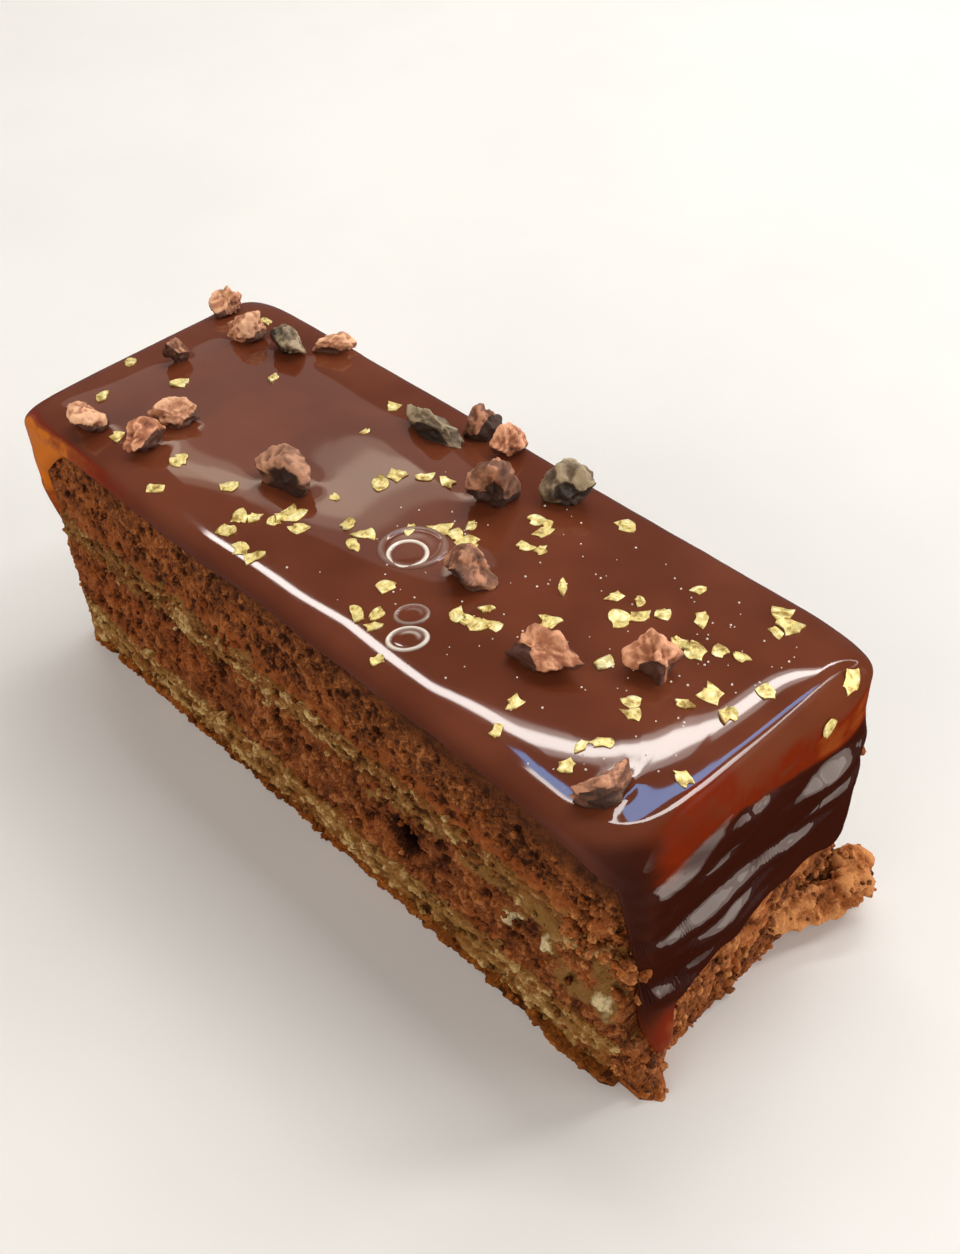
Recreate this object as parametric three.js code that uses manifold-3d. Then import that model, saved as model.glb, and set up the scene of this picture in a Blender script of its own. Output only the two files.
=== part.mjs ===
// A bar of layered chocolate cake, cut from a long loaf and glazed over its top and both ends.
// Millimetres, +Z up. X runs along the bar, Y across it, and the crust stands on Z = 0.
import * as THREE from 'three';
import { mergeVertices } from 'three/addons/utils/BufferGeometryUtils.js';
import Module from 'manifold-3d';

const wasm = await Module();
wasm.setup();

// Driving dimensions of the bar
const LENGTH = 100.4;
const WIDTH = 37;
const HEIGHT = 39;

// Glaze: thickness on the ends, overhang and clearance of the lip at the cut sides, roll-off of the top
const GLAZE_TOP = 3;
const GLAZE_END = 1.9;
const LIP_OVERHANG = 0.9;
const LIP_CLEARANCE = 0.35;
const LIP_WALL = 0.4;
const ROLL_WIDTH = 9;
const ROLL_DROP = 1.2;
const CREST_RADIUS = 4;

// The cake inside the glaze
const CAKE_HALF = WIDTH / 2 - LIP_OVERHANG;
const CAKE_END = LENGTH / 2 - GLAZE_END;
const CAKE_TOP = HEIGHT - GLAZE_TOP;
const STATION_PITCH = 2;
const STATIONS = Math.round((2 * CAKE_END) / STATION_PITCH) + 1;

// Layers from the floor up: height of the upper seam, its waviness, rows of relief on the cut sides,
// how far the cut stands out, and the depth of its crags
const LAYERS = [
  { name: 'base_crust', top: 1.5, wave: 0.25, rows: 2, stand: 0.1, crag: 0.3, colour: 0x6b3c18 },
  { name: 'lower_sponge', top: 7.1, wave: 0.5, rows: 4, stand: 0, crag: 0.3, colour: 0x8d6d38 },
  { name: 'lower_mousse', top: 19, wave: 0.6, rows: 7, stand: -0.1, crag: 0.4, colour: 0x5a301c },
  { name: 'upper_sponge', top: 22.9, wave: 0.5, rows: 3, stand: 0, crag: 0.3, colour: 0x877243 },
  { name: 'upper_mousse', top: CAKE_TOP, wave: 0, rows: 7, stand: -0.1, crag: 0.25, colour: 0x5f3a1f },
];
const SEAM_WAVES = [{ share: 0.6, rate: 0.13 }, { share: 0.4, rate: 0.31 }];
const SEAM_PHASE = 1.3;
const CRUST_FLARE = 1.1;
const SPONGE_SAG = { layer: 2, x: 37, reach: 8, depth: 1.6 };

// Torn pits in the cut sides: layer, side, place and size
const PITS = [
  { layer: 2, side: -1, x: 20, z: 14.4, reach: 2.4, depth: 2.2 },
  { layer: 2, side: 1, x: -14, z: 13, reach: 2.4, depth: 1.8 },
];

// Ends: the height where the glaze's thick fold begins, its slant, the hem, and each end's drip
const FOLD = { height: 29.5, slant: 0.32, step: 0.9, reach: 2.5, fade: 3 };
const RIDGE = { depth: 0.45, spacing: 7, slant: 0.22, wander: 1.2, rate: 0.35 };
const ENDS = [
  { side: 1, hem: 13.6, drip: { y: -14.5, reach: 2.4, drop: 8 }, phase: 0 },
  { side: -1, hem: 15, drip: { y: 8.5, reach: 2.6, drop: 6 }, phase: 2.1 },
];
const HEM_WAVES = [{ height: 0.9, rate: 0.33 }, { height: 0.54, rate: 0.8 }];
const HEM_BEAD = 0.4;
const END_ROWS = 9;
const ARC_STEPS = 4;
const TOP_PITCH = 4.6;
const HALF_COLUMNS = [0, 3.4, 6.8, 10.2, 13.4, 15.6, 17];
const COLUMNS = [...HALF_COLUMNS.slice(1).reverse().map((y) => -y), ...HALF_COLUMNS];

// Lip along the cut sides: its least drop below the cake's top, and the sags where it hangs lower
const LIP_DROP = 0.4;
const LIP_SAGS = [
  { side: -1, x: 15.5, reach: 4, drop: 1 },
  { side: -1, x: 47, reach: 6, drop: 1.3 },
  { side: -1, x: -30, reach: 7, drop: 0.4 },
  { side: 1, x: -20, reach: 5, drop: 1 },
  { side: 1, x: 38, reach: 6, drop: 1.1 },
];

// Cocoa nibs on the top: place, length, width and height, turn in degrees, and the bend of a shell-like one
const NIBS = [
  { x: -46.6, y: 12.1, size: [4.6, 3.6, 3.8], turn: 70, tan: true },
  { x: -38.9, y: 9.5, size: [5, 3.6, 3.8], turn: 60, tan: true },
  { x: -32.8, y: 10.9, size: [5, 3.6, 3.4], turn: 30, tan: false },
  { x: -29.2, y: 15.6, size: [5.8, 2.8, 2.8], turn: 62, tan: true },
  { x: -41.2, y: 0.4, size: [3.4, 2, 3.4], turn: 50, tan: false },
  { x: -31.1, y: -7, size: [5.8, 3.8, 3.2], turn: 38, tan: true },
  { x: -29.5, y: -12.3, size: [5.4, 3.6, 4], turn: 75, tan: true },
  { x: -38.2, y: -14.6, size: [5.4, 3.8, 3.4], turn: 30, tan: true },
  { x: -12.4, y: -5.3, size: [8, 5, 4.4], turn: 22, tan: false },
  { x: -7.4, y: 11.7, size: [9, 3.8, 3.4], turn: -8, tan: false, bend: 0.8 },
  { x: -3.4, y: 15.8, size: [4.6, 3.4, 4.4], turn: 65, tan: false },
  { x: 1.4, y: 15.4, size: [5, 3.6, 3.8], turn: 80, tan: true },
  { x: 6.3, y: 8.1, size: [6, 5.4, 6], turn: 45, tan: true },
  { x: 12, y: 13.4, size: [6, 4.2, 5], turn: 48, tan: false },
  { x: 14, y: -2.7, size: [5.8, 4.8, 4.4], turn: 40, tan: false },
  { x: 28.1, y: -6, size: [8, 4.6, 4], turn: 12, tan: true },
  { x: 35.8, y: 0.1, size: [5.8, 4.8, 5], turn: 49, tan: true },
  { x: 42.8, y: -13.6, size: [6.6, 2.6, 3.8], turn: 80, tan: false, bend: 1.4 },
];
const NIB_GAP = 0.04;
const NIB_FACETS = { count: 9, reach: 0.68, uneven: 0.14, rough: 0.12 };
const NIB_FOOT = -0.55;

// Gold flakes on the glaze: groups of place, number and spread
const FLAKE_GROUPS = [
  [40.7, 14.4, 3, 2], [19.6, 15.1, 1, 0], [31.8, 12.3, 1, 0], [34.7, 8.9, 1, 0], [39.3, 7.2, 2, 1.5],
  [45.1, 5.6, 1, 0], [29.3, 5.2, 5, 3], [36.6, 4.2, 2, 1.4], [41.8, 0.4, 3, 2.8], [37.6, -4, 2, 1.5],
  [24.2, -1.5, 1, 0], [31.2, -3, 1, 0], [21.8, 2.6, 1, 0], [46, -7.7, 1, 0], [38.3, -10.4, 2, 1.5],
  [39, -13.9, 1, 0], [30.4, -15.3, 1, 0], [29.2, -11.7, 1, 0], [18.4, -6.2, 4, 2.3], [15.2, -16.6, 1, 0],
  [10.2, -13.4, 3, 1.8], [8.6, -9, 1, 0], [13.3, 8.6, 3, 1.9], [14.8, 5.2, 2, 1.4], [7.6, 1.7, 4, 2.4],
  [3.5, -1.4, 1, 0], [-0.2, 5.8, 2, 2], [-4.1, 2.9, 2, 1.6], [-13.1, 6.5, 1, 0], [-29.6, 6.2, 1, 0],
  [-14.5, 12, 1, 0], [-6.3, -3.8, 1, 0], [-0.1, -5.9, 3, 2.2], [-7.2, -9.6, 4, 2.6], [-11.2, -13.4, 3, 2],
  [-7, -15.2, 2, 1.5], [-16.6, -10.3, 1, 0], [-24.7, -11, 1, 0], [-41.9, -10.3, 1, 0], [-34, -13.4, 1, 0],
  [-23.1, -16, 1, 0], [-36.9, -2.1, 1, 0], [-46.4, -3.4, 1, 0], [-36.4, 12.3, 1, 0], [-40.9, 14, 1, 0],
];
const FLAKE_RADIUS = 1.25;
const FLAKE_CORNERS = 5;
const FLAKE_UNEVEN = 0.3;
const FLAKE_PROUD = 0.22;
const FLAKE_SUNK = 0.35;
const FLAKE_NIB_GAP = 0.6;
const GOLDEN_SHARE = (Math.sqrt(5) - 1) / 2;
const GOLDEN_ANGLE = 2 * Math.PI * (1 - GOLDEN_SHARE);

// Crumbs along the foot of each end: depth of the band, crumb sizes, and the clearance under the hem
const CRUMB_BAND = { depth: 1.2, crag: 0.5, rows: 5, hemGap: 0.5 };
const CRUMBS = { count: 15, least: 0.9, most: 1.8, squash: [1, 0.75, 0.9] };
const FOOT = { y: -15.4, reach: 2.6, height: 6, depth: 3.4 };
const CURL = { thick: 1.7, tall: 4.6, steps: 9 };

// A repeatable number from -1 to 1 for three whole numbers.
function scatter(a, b, c) {
  const value = Math.sin(a * 12.9898 + b * 78.233 + c * 37.719) * 43758.5453;
  return 2 * (value - Math.floor(value)) - 1;
}

// A bell curve of height 1.
function bell(distance, reach) {
  return Math.exp(-((distance / reach) ** 2));
}

// A smooth step from 0 to 1.
function ease(value) {
  return THREE.MathUtils.smoothstep(value, 0, 1);
}

// A geometry from points and triangle indices.
function geometryFrom(points, faces) {
  const geometry = new THREE.BufferGeometry();
  geometry.setAttribute('position', new THREE.Float32BufferAttribute(points.flat(), 3));
  geometry.setIndex(faces);
  return geometry;
}

// A closed shell between two grids of points that have the same rows and columns.
// The outer grid's rows and columns turn so that column direction x row direction points out.
function shellBetween(outer, inner) {
  const rows = outer.length;
  const columns = outer[0].length;
  const faces = [];
  const at = (grid, row, column) => (grid * rows + row) * columns + column;
  const quad = (a, b, c, d) => faces.push(a, b, c, a, c, d);
  for (let r = 0; r < rows - 1; r += 1) {
    for (let c = 0; c < columns - 1; c += 1) {
      quad(at(0, r, c), at(0, r, c + 1), at(0, r + 1, c + 1), at(0, r + 1, c));
      quad(at(1, r, c), at(1, r + 1, c), at(1, r + 1, c + 1), at(1, r, c + 1));
    }
  }
  for (let c = 0; c < columns - 1; c += 1) {
    quad(at(1, 0, c), at(1, 0, c + 1), at(0, 0, c + 1), at(0, 0, c));
    quad(at(0, rows - 1, c), at(0, rows - 1, c + 1), at(1, rows - 1, c + 1), at(1, rows - 1, c));
  }
  for (let r = 0; r < rows - 1; r += 1) {
    quad(at(0, r, 0), at(0, r + 1, 0), at(1, r + 1, 0), at(1, r, 0));
    quad(at(1, r, columns - 1), at(1, r + 1, columns - 1), at(0, r + 1, columns - 1), at(0, r, columns - 1));
  }
  return geometryFrom([...outer.flat(), ...inner.flat()], faces);
}

// A solid for joining, from a closed geometry.
function solidFrom(geometry) {
  const bare = geometry.clone();
  bare.deleteAttribute('normal');
  bare.deleteAttribute('uv');
  const merged = mergeVertices(bare, 1e-4);
  const vertProperties = new Float32Array(merged.attributes.position.array);
  const triVerts = new Uint32Array(merged.index.array);
  return new wasm.Manifold(new wasm.Mesh({ numProp: 3, vertProperties, triVerts }));
}

// One body from a solid and what is fused to it, without loose scraps or sealed hollows.
function fuse(geometry, additions) {
  const joined = additions.reduce((body, addition) => body.add(solidFrom(addition)), solidFrom(geometry));
  const largest = joined.decompose().reduce((a, b) => (b.volume() > a.volume() ? b : a));
  const mesh = largest.getMesh();
  const points = Array.from(mesh.vertProperties);
  return geometryFrom(points, Array.from(mesh.triVerts));
}

// A named piece with its finish.
function piece(name, geometry, color, roughness) {
  const mesh = new THREE.Mesh(geometry, new THREE.MeshStandardMaterial({ color, roughness, metalness: 0 }));
  mesh.name = name;
  return mesh;
}

// Height of the seam above a layer at a place along the bar, or of the floor for layer -1.
function seamHeight(index, x) {
  if (index < 0) return 0;
  const layer = LAYERS[index];
  const ripple = SEAM_WAVES.reduce((sum, { share, rate }, i) =>
    sum + share * Math.sin(rate * x + SEAM_PHASE * index * (i + 1)), 0);
  const sag = index === SPONGE_SAG.layer ? SPONGE_SAG.depth * bell(x - SPONGE_SAG.x, SPONGE_SAG.reach) : 0;
  return layer.top + layer.wave * ripple - sag;
}

// How far a cut side stands out from its plane: crags of the layer, the crust's flare and the torn pits.
function cutRelief(index, side, station, row, x, z) {
  const layer = LAYERS[index];
  const crag = layer.crag * scatter(station, row + 10 * index, side);
  const flare = index === 0 ? CRUST_FLARE * ((x + CAKE_END) / (2 * CAKE_END)) ** 6 : 0;
  const pits = PITS.filter((pit) => pit.layer === index && pit.side === side);
  const torn = pits.reduce((sum, pit) => sum + pit.depth * bell(Math.hypot(x - pit.x, z - pit.z), pit.reach), 0);
  return layer.stand + crag + flare - torn;
}

// A layer that runs through the bar: two cut sides with relief, wavy seams and plain ends under the glaze.
function layerGeometry(index) {
  const { rows } = LAYERS[index];
  const cutSide = (side) => Array.from({ length: rows }, (_, row) =>
    Array.from({ length: STATIONS }, (_, station) => {
      const x = -CAKE_END + (2 * CAKE_END * station) / (STATIONS - 1);
      const z = THREE.MathUtils.lerp(seamHeight(index - 1, x), seamHeight(index, x), row / (rows - 1));
      return [x, side * (CAKE_HALF + cutRelief(index, side, station, row, x, z)), z];
    }));
  return shellBetween(cutSide(-1), cutSide(1));
}

// Height of the glaze over the top: level in the middle, rolling off towards all four edges.
function glazeHeight(x, y) {
  const roll = (distance) => Math.max(0, 1 - distance / ROLL_WIDTH) ** 2;
  return HEIGHT - ROLL_DROP * (roll(LENGTH / 2 - Math.abs(x)) + roll(WIDTH / 2 - Math.abs(y)));
}

// Height of the hem of the glaze on an end, with its drip.
function hemHeight(end, y) {
  const wave = HEM_WAVES.reduce((sum, { height, rate }, i) =>
    sum + height * Math.sin(rate * y + end.phase * (i + 1)), 0);
  const drip = Math.exp(-(((y - end.drip.y) / end.drip.reach) ** 4));
  return end.hem + wave - end.drip.drop * drip;
}

// Height of the hem where it runs straight between two of the glaze's columns.
function hemLine(end, y) {
  const place = THREE.MathUtils.clamp(y, COLUMNS[0], COLUMNS.at(-1));
  const next = Math.max(1, COLUMNS.findIndex((column) => column >= place));
  const [from, to] = [COLUMNS[next - 1], COLUMNS[next]];
  return THREE.MathUtils.mapLinear(place, from, to, hemHeight(end, from), hemHeight(end, to));
}

// Extra thickness of the glaze on an end: a slanting fold with rippled ridges below it.
function endBulge(end, y, z, crestHeight) {
  const below = FOLD.height + FOLD.slant * y * end.side - z;
  const fold = FOLD.step * ease(below / FOLD.reach);
  const slope = z - RIDGE.slant * y * end.side + RIDGE.wander * Math.sin(RIDGE.rate * y + end.phase);
  const ridge = RIDGE.depth * Math.sin((2 * Math.PI * slope) / RIDGE.spacing + end.phase);
  return (fold + ridge * ease(below / FOLD.reach)) * ease((crestHeight - z) / FOLD.fade);
}

// How far the lip hangs below the cake's top along a cut side.
function lipDrop(side, x) {
  const sags = LIP_SAGS.filter((sag) => sag.side === side);
  return sags.reduce((sum, sag) => sum + sag.drop * bell(x - sag.x, sag.reach), LIP_DROP);
}

// Where the glaze's outer and inner faces lie, row by row along its path over the bar.
// Each row gives, at a place across the bar, the outer point, the direction out and the point on the cake.
function glazeRows() {
  const arcX = LENGTH / 2 - CREST_RADIUS;
  const crest = (y) => glazeHeight(arcX, y) - CREST_RADIUS;
  const endRow = (end, step) => (y) => {
    const z = THREE.MathUtils.lerp(hemHeight(end, y), crest(y), step / END_ROWS);
    const thickness = GLAZE_END + endBulge(end, y, z, crest(y));
    const out = CAKE_END + (step === 0 ? HEM_BEAD : 1) * thickness;
    return { out: [end.side * out, z], normal: [end.side, 0], core: [end.side * CAKE_END, z], drop: LIP_DROP };
  };
  const arcRow = (end, step) => (y, side) => {
    const angle = (Math.PI / 2) * (step / ARC_STEPS);
    const normal = [end.side * Math.cos(angle), Math.sin(angle)];
    const out = [end.side * arcX + CREST_RADIUS * normal[0], crest(y) + CREST_RADIUS * normal[1]];
    const turn = 2 * (step / ARC_STEPS);
    const coreX = THREE.MathUtils.lerp(CAKE_END, arcX, Math.max(0, turn - 1));
    const coreZ = THREE.MathUtils.lerp(crest(y), CAKE_TOP, Math.min(1, turn));
    const drop = THREE.MathUtils.lerp(LIP_DROP, lipDrop(side, end.side * arcX), step / ARC_STEPS);
    return { out, normal, core: [end.side * coreX, coreZ], drop };
  };
  const topRow = (x) => (y, side) => (
    { out: [x, glazeHeight(x, y)], normal: [0, 1], core: [x, CAKE_TOP], drop: lipDrop(side, x) });

  const [right, left] = ENDS;
  const endSteps = Array.from({ length: END_ROWS }, (_, step) => step);
  const arcSteps = Array.from({ length: ARC_STEPS + 1 }, (_, step) => step);
  const topCount = Math.round((2 * arcX) / TOP_PITCH) - 1;
  const topPlaces = Array.from({ length: topCount }, (_, i) => arcX - ((i + 1) * 2 * arcX) / (topCount + 1));
  return [
    ...endSteps.map((step) => endRow(right, step)),
    ...arcSteps.map((step) => arcRow(right, step)),
    ...topPlaces.map((x) => topRow(x)),
    ...arcSteps.reverse().map((step) => arcRow(left, step)),
    ...endSteps.reverse().map((step) => endRow(left, step)),
  ];
}

// One row's outer and inner points from lip to lip across the bar.
// Edge columns carry the lip: its foot, its belly and its shoulder, as shares of the glaze's thickness.
function glazeRowPoints(row) {
  const insideLip = CAKE_HALF + LIP_CLEARANCE;
  const edges = [
    { outY: insideLip + LIP_WALL, share: 1, dropShare: 1, inY: insideLip, inDrop: 1 },
    { outY: CAKE_HALF + LIP_OVERHANG, share: 0.7, dropShare: 0.4, inY: insideLip, inDrop: 0 },
    { outY: CAKE_HALF + 0.7 * LIP_OVERHANG, share: 0.3, dropShare: 0, inY: CAKE_HALF - 0.1, inDrop: 0 },
  ];
  const edgePoints = (side) => edges.map((edge) => {
    const { out, normal, core, drop } = row(side * CAKE_HALF, side);
    const thickness = (out[0] - core[0]) * normal[0] + (out[1] - core[1]) * normal[1];
    const sink = thickness * edge.share + drop * edge.dropShare;
    const lower = drop * edge.inDrop;
    return {
      outer: [out[0] - normal[0] * sink, side * edge.outY, out[1] - normal[1] * sink],
      inner: [core[0] - normal[0] * lower, side * edge.inY, core[1] - normal[1] * lower],
    };
  });
  const middle = COLUMNS.map((y) => {
    const { out, core } = row(y, Math.sign(y));
    return { outer: [out[0], y, out[1]], inner: [core[0], y, core[1]] };
  });
  return [...edgePoints(-1), ...middle, ...edgePoints(1).reverse()];
}

// Places of the gold flakes: each group spreads in a sunflower spiral, and flakes move clear of the nibs.
function flakePlaces() {
  const places = FLAKE_GROUPS.flatMap(([x, y, count, spread], group) =>
    Array.from({ length: count }, (_, i) => {
      const reach = count > 1 ? spread * Math.sqrt((i + 0.5) / count) : 0;
      const angle = GOLDEN_ANGLE * i + group;
      return { x: x + reach * Math.cos(angle), y: y + reach * Math.sin(angle), seed: 7 * group + i };
    }));
  return places.map((place) => NIBS.reduce((moved, nib) => {
    const clear = nib.size[0] / 2 + FLAKE_RADIUS + FLAKE_NIB_GAP;
    const away = new THREE.Vector2(moved.x - nib.x, moved.y - nib.y);
    if (away.length() > clear) return moved;
    away.setLength(clear);
    return { ...moved, x: nib.x + away.x, y: nib.y + away.y };
  }, place));
}

// One angular flake lying in the glaze's surface.
function flakeGeometry({ x, y, seed }) {
  const outline = Array.from({ length: FLAKE_CORNERS }, (_, corner) => {
    const angle = (2 * Math.PI * (corner + FLAKE_UNEVEN * scatter(seed, corner, 3))) / FLAKE_CORNERS + seed;
    const radius = FLAKE_RADIUS * (1 + FLAKE_UNEVEN * scatter(seed, corner, 5));
    return [x + radius * Math.cos(angle), y + radius * Math.sin(angle)];
  });
  const level = (offset) => outline.map(([px, py]) => [px, py, glazeHeight(px, py) + offset]);
  const points = [...level(-FLAKE_SUNK), ...level(FLAKE_PROUD)];
  const faces = [];
  for (let i = 0; i < FLAKE_CORNERS; i += 1) {
    const next = (i + 1) % FLAKE_CORNERS;
    faces.push(i, next, FLAKE_CORNERS + next, i, FLAKE_CORNERS + next, FLAKE_CORNERS + i);
  }
  for (let i = 1; i < FLAKE_CORNERS - 1; i += 1) {
    faces.push(0, i + 1, i, FLAKE_CORNERS, FLAKE_CORNERS + i, FLAKE_CORNERS + i + 1);
  }
  return geometryFrom(points, faces);
}

// The glaze with its flakes fused on.
function glazeGeometry() {
  const rows = glazeRows().map(glazeRowPoints);
  const outer = rows.map((row) => row.map((point) => point.outer));
  const inner = rows.map((row) => row.map((point) => point.inner));
  return fuse(shellBetween(outer, inner), flakePlaces().map(flakeGeometry));
}

// A broken nib: in each direction it reaches the nearest of its fracture planes. It stands on a flat foot
// at Z = 0, fills its size, and a shell-like one bends along its length.
function nibGeometry({ size: [length, width, height], bend = 0 }, seed) {
  const bare = new THREE.IcosahedronGeometry(1, 1).deleteAttribute('normal').deleteAttribute('uv');
  const geometry = mergeVertices(bare);
  const planes = Array.from({ length: NIB_FACETS.count }, (_, i) => ({
    normal: new THREE.Vector3(scatter(seed, i, 1), scatter(seed, i, 2), scatter(seed, i, 4)).normalize(),
    reach: NIB_FACETS.reach + NIB_FACETS.uneven * scatter(seed, i, 6),
  }));
  const position = geometry.attributes.position;
  for (let i = 0; i < position.count; i += 1) {
    const point = new THREE.Vector3().fromBufferAttribute(position, i);
    const facing = planes.filter((plane) => point.dot(plane.normal) > 0);
    const cuts = facing.map((plane) => plane.reach / point.dot(plane.normal));
    point.multiplyScalar(Math.min(1 + NIB_FACETS.rough * scatter(seed, i, 8), ...cuts));
    position.setXYZ(i, point.x, point.y, Math.max(point.z, NIB_FOOT));
  }
  geometry.computeBoundingBox();
  const { min, max } = geometry.boundingBox;
  geometry.translate(-(min.x + max.x) / 2, -(min.y + max.y) / 2, -min.z);
  geometry.scale(length / (max.x - min.x), width / (max.y - min.y), height / (max.z - min.z));
  for (let i = 0; i < position.count; i += 1) {
    position.setY(i, position.getY(i) + bend * ((2 * position.getX(i)) / length) ** 2);
  }
  return geometry;
}

// A nib set down on the glaze, level with its slope there.
function nibPiece(nib, index) {
  const color = nib.tan ? 0x8a5a44 : 0x4a3730;
  const mesh = piece(`nib_${String(index + 1).padStart(2, '0')}`, nibGeometry(nib, index + 1), color, 0.75);
  const up = new THREE.Vector3(0, 0, 1);
  const rise = (dx, dy) => glazeHeight(nib.x + dx, nib.y + dy) - glazeHeight(nib.x - dx, nib.y - dy);
  const normal = new THREE.Vector3(-rise(0.5, 0), -rise(0, 0.5), 1).normalize();
  const turn = new THREE.Quaternion().setFromAxisAngle(up, THREE.MathUtils.degToRad(nib.turn));
  mesh.quaternion.setFromUnitVectors(up, normal).multiply(turn);
  mesh.position.set(nib.x, nib.y, glazeHeight(nib.x, nib.y)).addScaledVector(normal, NIB_GAP);
  return mesh;
}

// How far the crumb band stands out of an end: thin and craggy, with a foot at one corner of the right end.
function crumbDepth(end, y, z, row, column) {
  const crag = CRUMB_BAND.crag * scatter(row, column, 20 + end.side);
  const foot = end.side > 0 ? FOOT.depth * bell(y - FOOT.y, FOOT.reach) * Math.max(0, 1 - z / FOOT.height) : 0;
  return CRUMB_BAND.depth + crag + foot;
}

// The curled strip of crust at the far corner of the right end.
function curlGeometry() {
  const path = new THREE.CatmullRomCurve3([
    new THREE.Vector3(CAKE_END + 1.4, 8.5, 4.6),
    new THREE.Vector3(CAKE_END + 3.2, 12.5, 3.6),
    new THREE.Vector3(CAKE_END + 4.6, 17, 3.4),
    new THREE.Vector3(CAKE_END + 3, 19.4, 4.4),
    new THREE.Vector3(CAKE_END + 1.6, 17.2, 5.6),
  ]);
  const section = new THREE.Shape();
  section.absellipse(0, 0, CURL.tall / 2, CURL.thick / 2, 0, 2 * Math.PI);
  return new THREE.ExtrudeGeometry(section, { steps: CURL.steps, curveSegments: 4, extrudePath: path });
}

// The band of crumbs at the foot of an end, under the hem of the glaze.
function crumbGeometry(end) {
  const { rows, hemGap } = CRUMB_BAND;
  const half = COLUMNS.at(-1);
  const across = end.side > 0 ? COLUMNS : COLUMNS.toReversed();
  const topOf = (y) => hemLine(end, y) - hemGap;
  const grid = (place) => Array.from({ length: rows }, (_, row) =>
    across.map((y, column) => place(y, (topOf(y) * row) / (rows - 1), row, column)));
  const outer = grid((y, z, row, column) => [end.side * (CAKE_END + crumbDepth(end, y, z, row, column)), y, z]);
  const back = grid((y, z) => [end.side * CAKE_END, y, z]);
  const crumbs = Array.from({ length: CRUMBS.count }, (_, i) => {
    const size = THREE.MathUtils.lerp(CRUMBS.least, CRUMBS.most, 0.5 + 0.5 * scatter(i, end.side, 31));
    const y = (half - size) * (((i * GOLDEN_SHARE) % 1) * 2 - 1);
    const room = Math.min(topOf(y - size), topOf(y), topOf(y + size)) - 2 * size;
    const z = size + room * (0.5 + 0.5 * scatter(i, end.side, 32));
    const depth = Math.max(crumbDepth(end, y, z, 0, 0) - hemGap, size + NIB_GAP);
    const crumb = new THREE.IcosahedronGeometry(size, 0);
    crumb.scale(...CRUMBS.squash).rotateX(i).rotateZ(2 * i);
    return crumb.translate(end.side * (CAKE_END + depth), y, z);
  });
  return fuse(shellBetween(outer, back), end.side > 0 ? [...crumbs, curlGeometry()] : crumbs);
}

// The whole bar, with its origin under the middle of the box that it fills.
const bar = new THREE.Group();
LAYERS.forEach((layer, index) => bar.add(piece(layer.name, layerGeometry(index), layer.colour, 0.9)));
bar.add(piece('glaze', glazeGeometry(), 0x4a1f14, 0.12));
NIBS.forEach((nib, index) => bar.add(nibPiece(nib, index)));
bar.add(piece('crumbs_right', crumbGeometry(ENDS[0]), 0x9a5a2c, 0.95));
bar.add(piece('crumbs_left', crumbGeometry(ENDS[1]), 0x9a5a2c, 0.95));

const box = new THREE.Box3().setFromObject(bar);
bar.position.set(-(box.min.x + box.max.x) / 2, -(box.min.y + box.max.y) / 2, -box.min.z);

const cake = new THREE.Group();
cake.add(bar);
export default cake;
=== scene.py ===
"""A bar of layered chocolate cake: torn crumb, mirror glaze, cocoa nibs and gold flakes.

Shapes are worked out in millimetres in the bar's own frame, with X along the bar, Y across it and Z up
from the floor, and X = Y = 0 at the bar's middle. They are then put into the frame, in metres.
"""

import itertools
import math

import bpy
import numpy as np
from mathutils import Matrix, Vector


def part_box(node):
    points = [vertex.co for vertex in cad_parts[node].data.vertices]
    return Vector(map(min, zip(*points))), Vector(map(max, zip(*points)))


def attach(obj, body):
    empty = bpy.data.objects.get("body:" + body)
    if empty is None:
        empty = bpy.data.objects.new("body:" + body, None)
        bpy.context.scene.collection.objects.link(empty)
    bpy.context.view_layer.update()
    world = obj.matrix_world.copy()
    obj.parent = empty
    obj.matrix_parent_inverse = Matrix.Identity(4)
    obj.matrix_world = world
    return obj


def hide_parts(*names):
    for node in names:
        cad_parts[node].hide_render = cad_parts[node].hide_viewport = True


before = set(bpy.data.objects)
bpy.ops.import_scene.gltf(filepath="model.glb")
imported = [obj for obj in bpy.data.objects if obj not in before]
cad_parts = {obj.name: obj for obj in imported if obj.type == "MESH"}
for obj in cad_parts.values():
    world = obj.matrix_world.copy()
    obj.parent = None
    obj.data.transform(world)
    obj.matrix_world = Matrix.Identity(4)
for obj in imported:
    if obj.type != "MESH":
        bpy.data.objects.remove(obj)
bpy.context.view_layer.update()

MM = 0.001
NEAR, FAR = -1, 1


def node_span(node, axis):
    """Lowest and highest place of a node along an axis, in millimetres."""
    low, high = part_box(node)
    return low[axis] / MM, high[axis] / MM


# The bar, from the frame
CAKE_SPAN = node_span("upper_mousse", 0)
GLAZE_SPAN = node_span("glaze", 1)
MIDDLE = np.array([sum(CAKE_SPAN) / 2, sum(GLAZE_SPAN) / 2, 0.0])
CAKE_END = (CAKE_SPAN[1] - CAKE_SPAN[0]) / 2
CAKE_TOP = node_span("upper_mousse", 2)[1]
HALF_WIDTH = (GLAZE_SPAN[1] - GLAZE_SPAN[0]) / 2
LIP_OVERHANG = 0.9
CAKE_HALF = HALF_WIDTH - LIP_OVERHANG
GLAZE_TOP = 3.0
GLAZE_END = 1.9
HALF_LENGTH = CAKE_END + GLAZE_END
HEIGHT = CAKE_TOP + GLAZE_TOP


# Repeatable noise

PRIMES = (374761393, 668265263, 1274126177)


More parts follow.
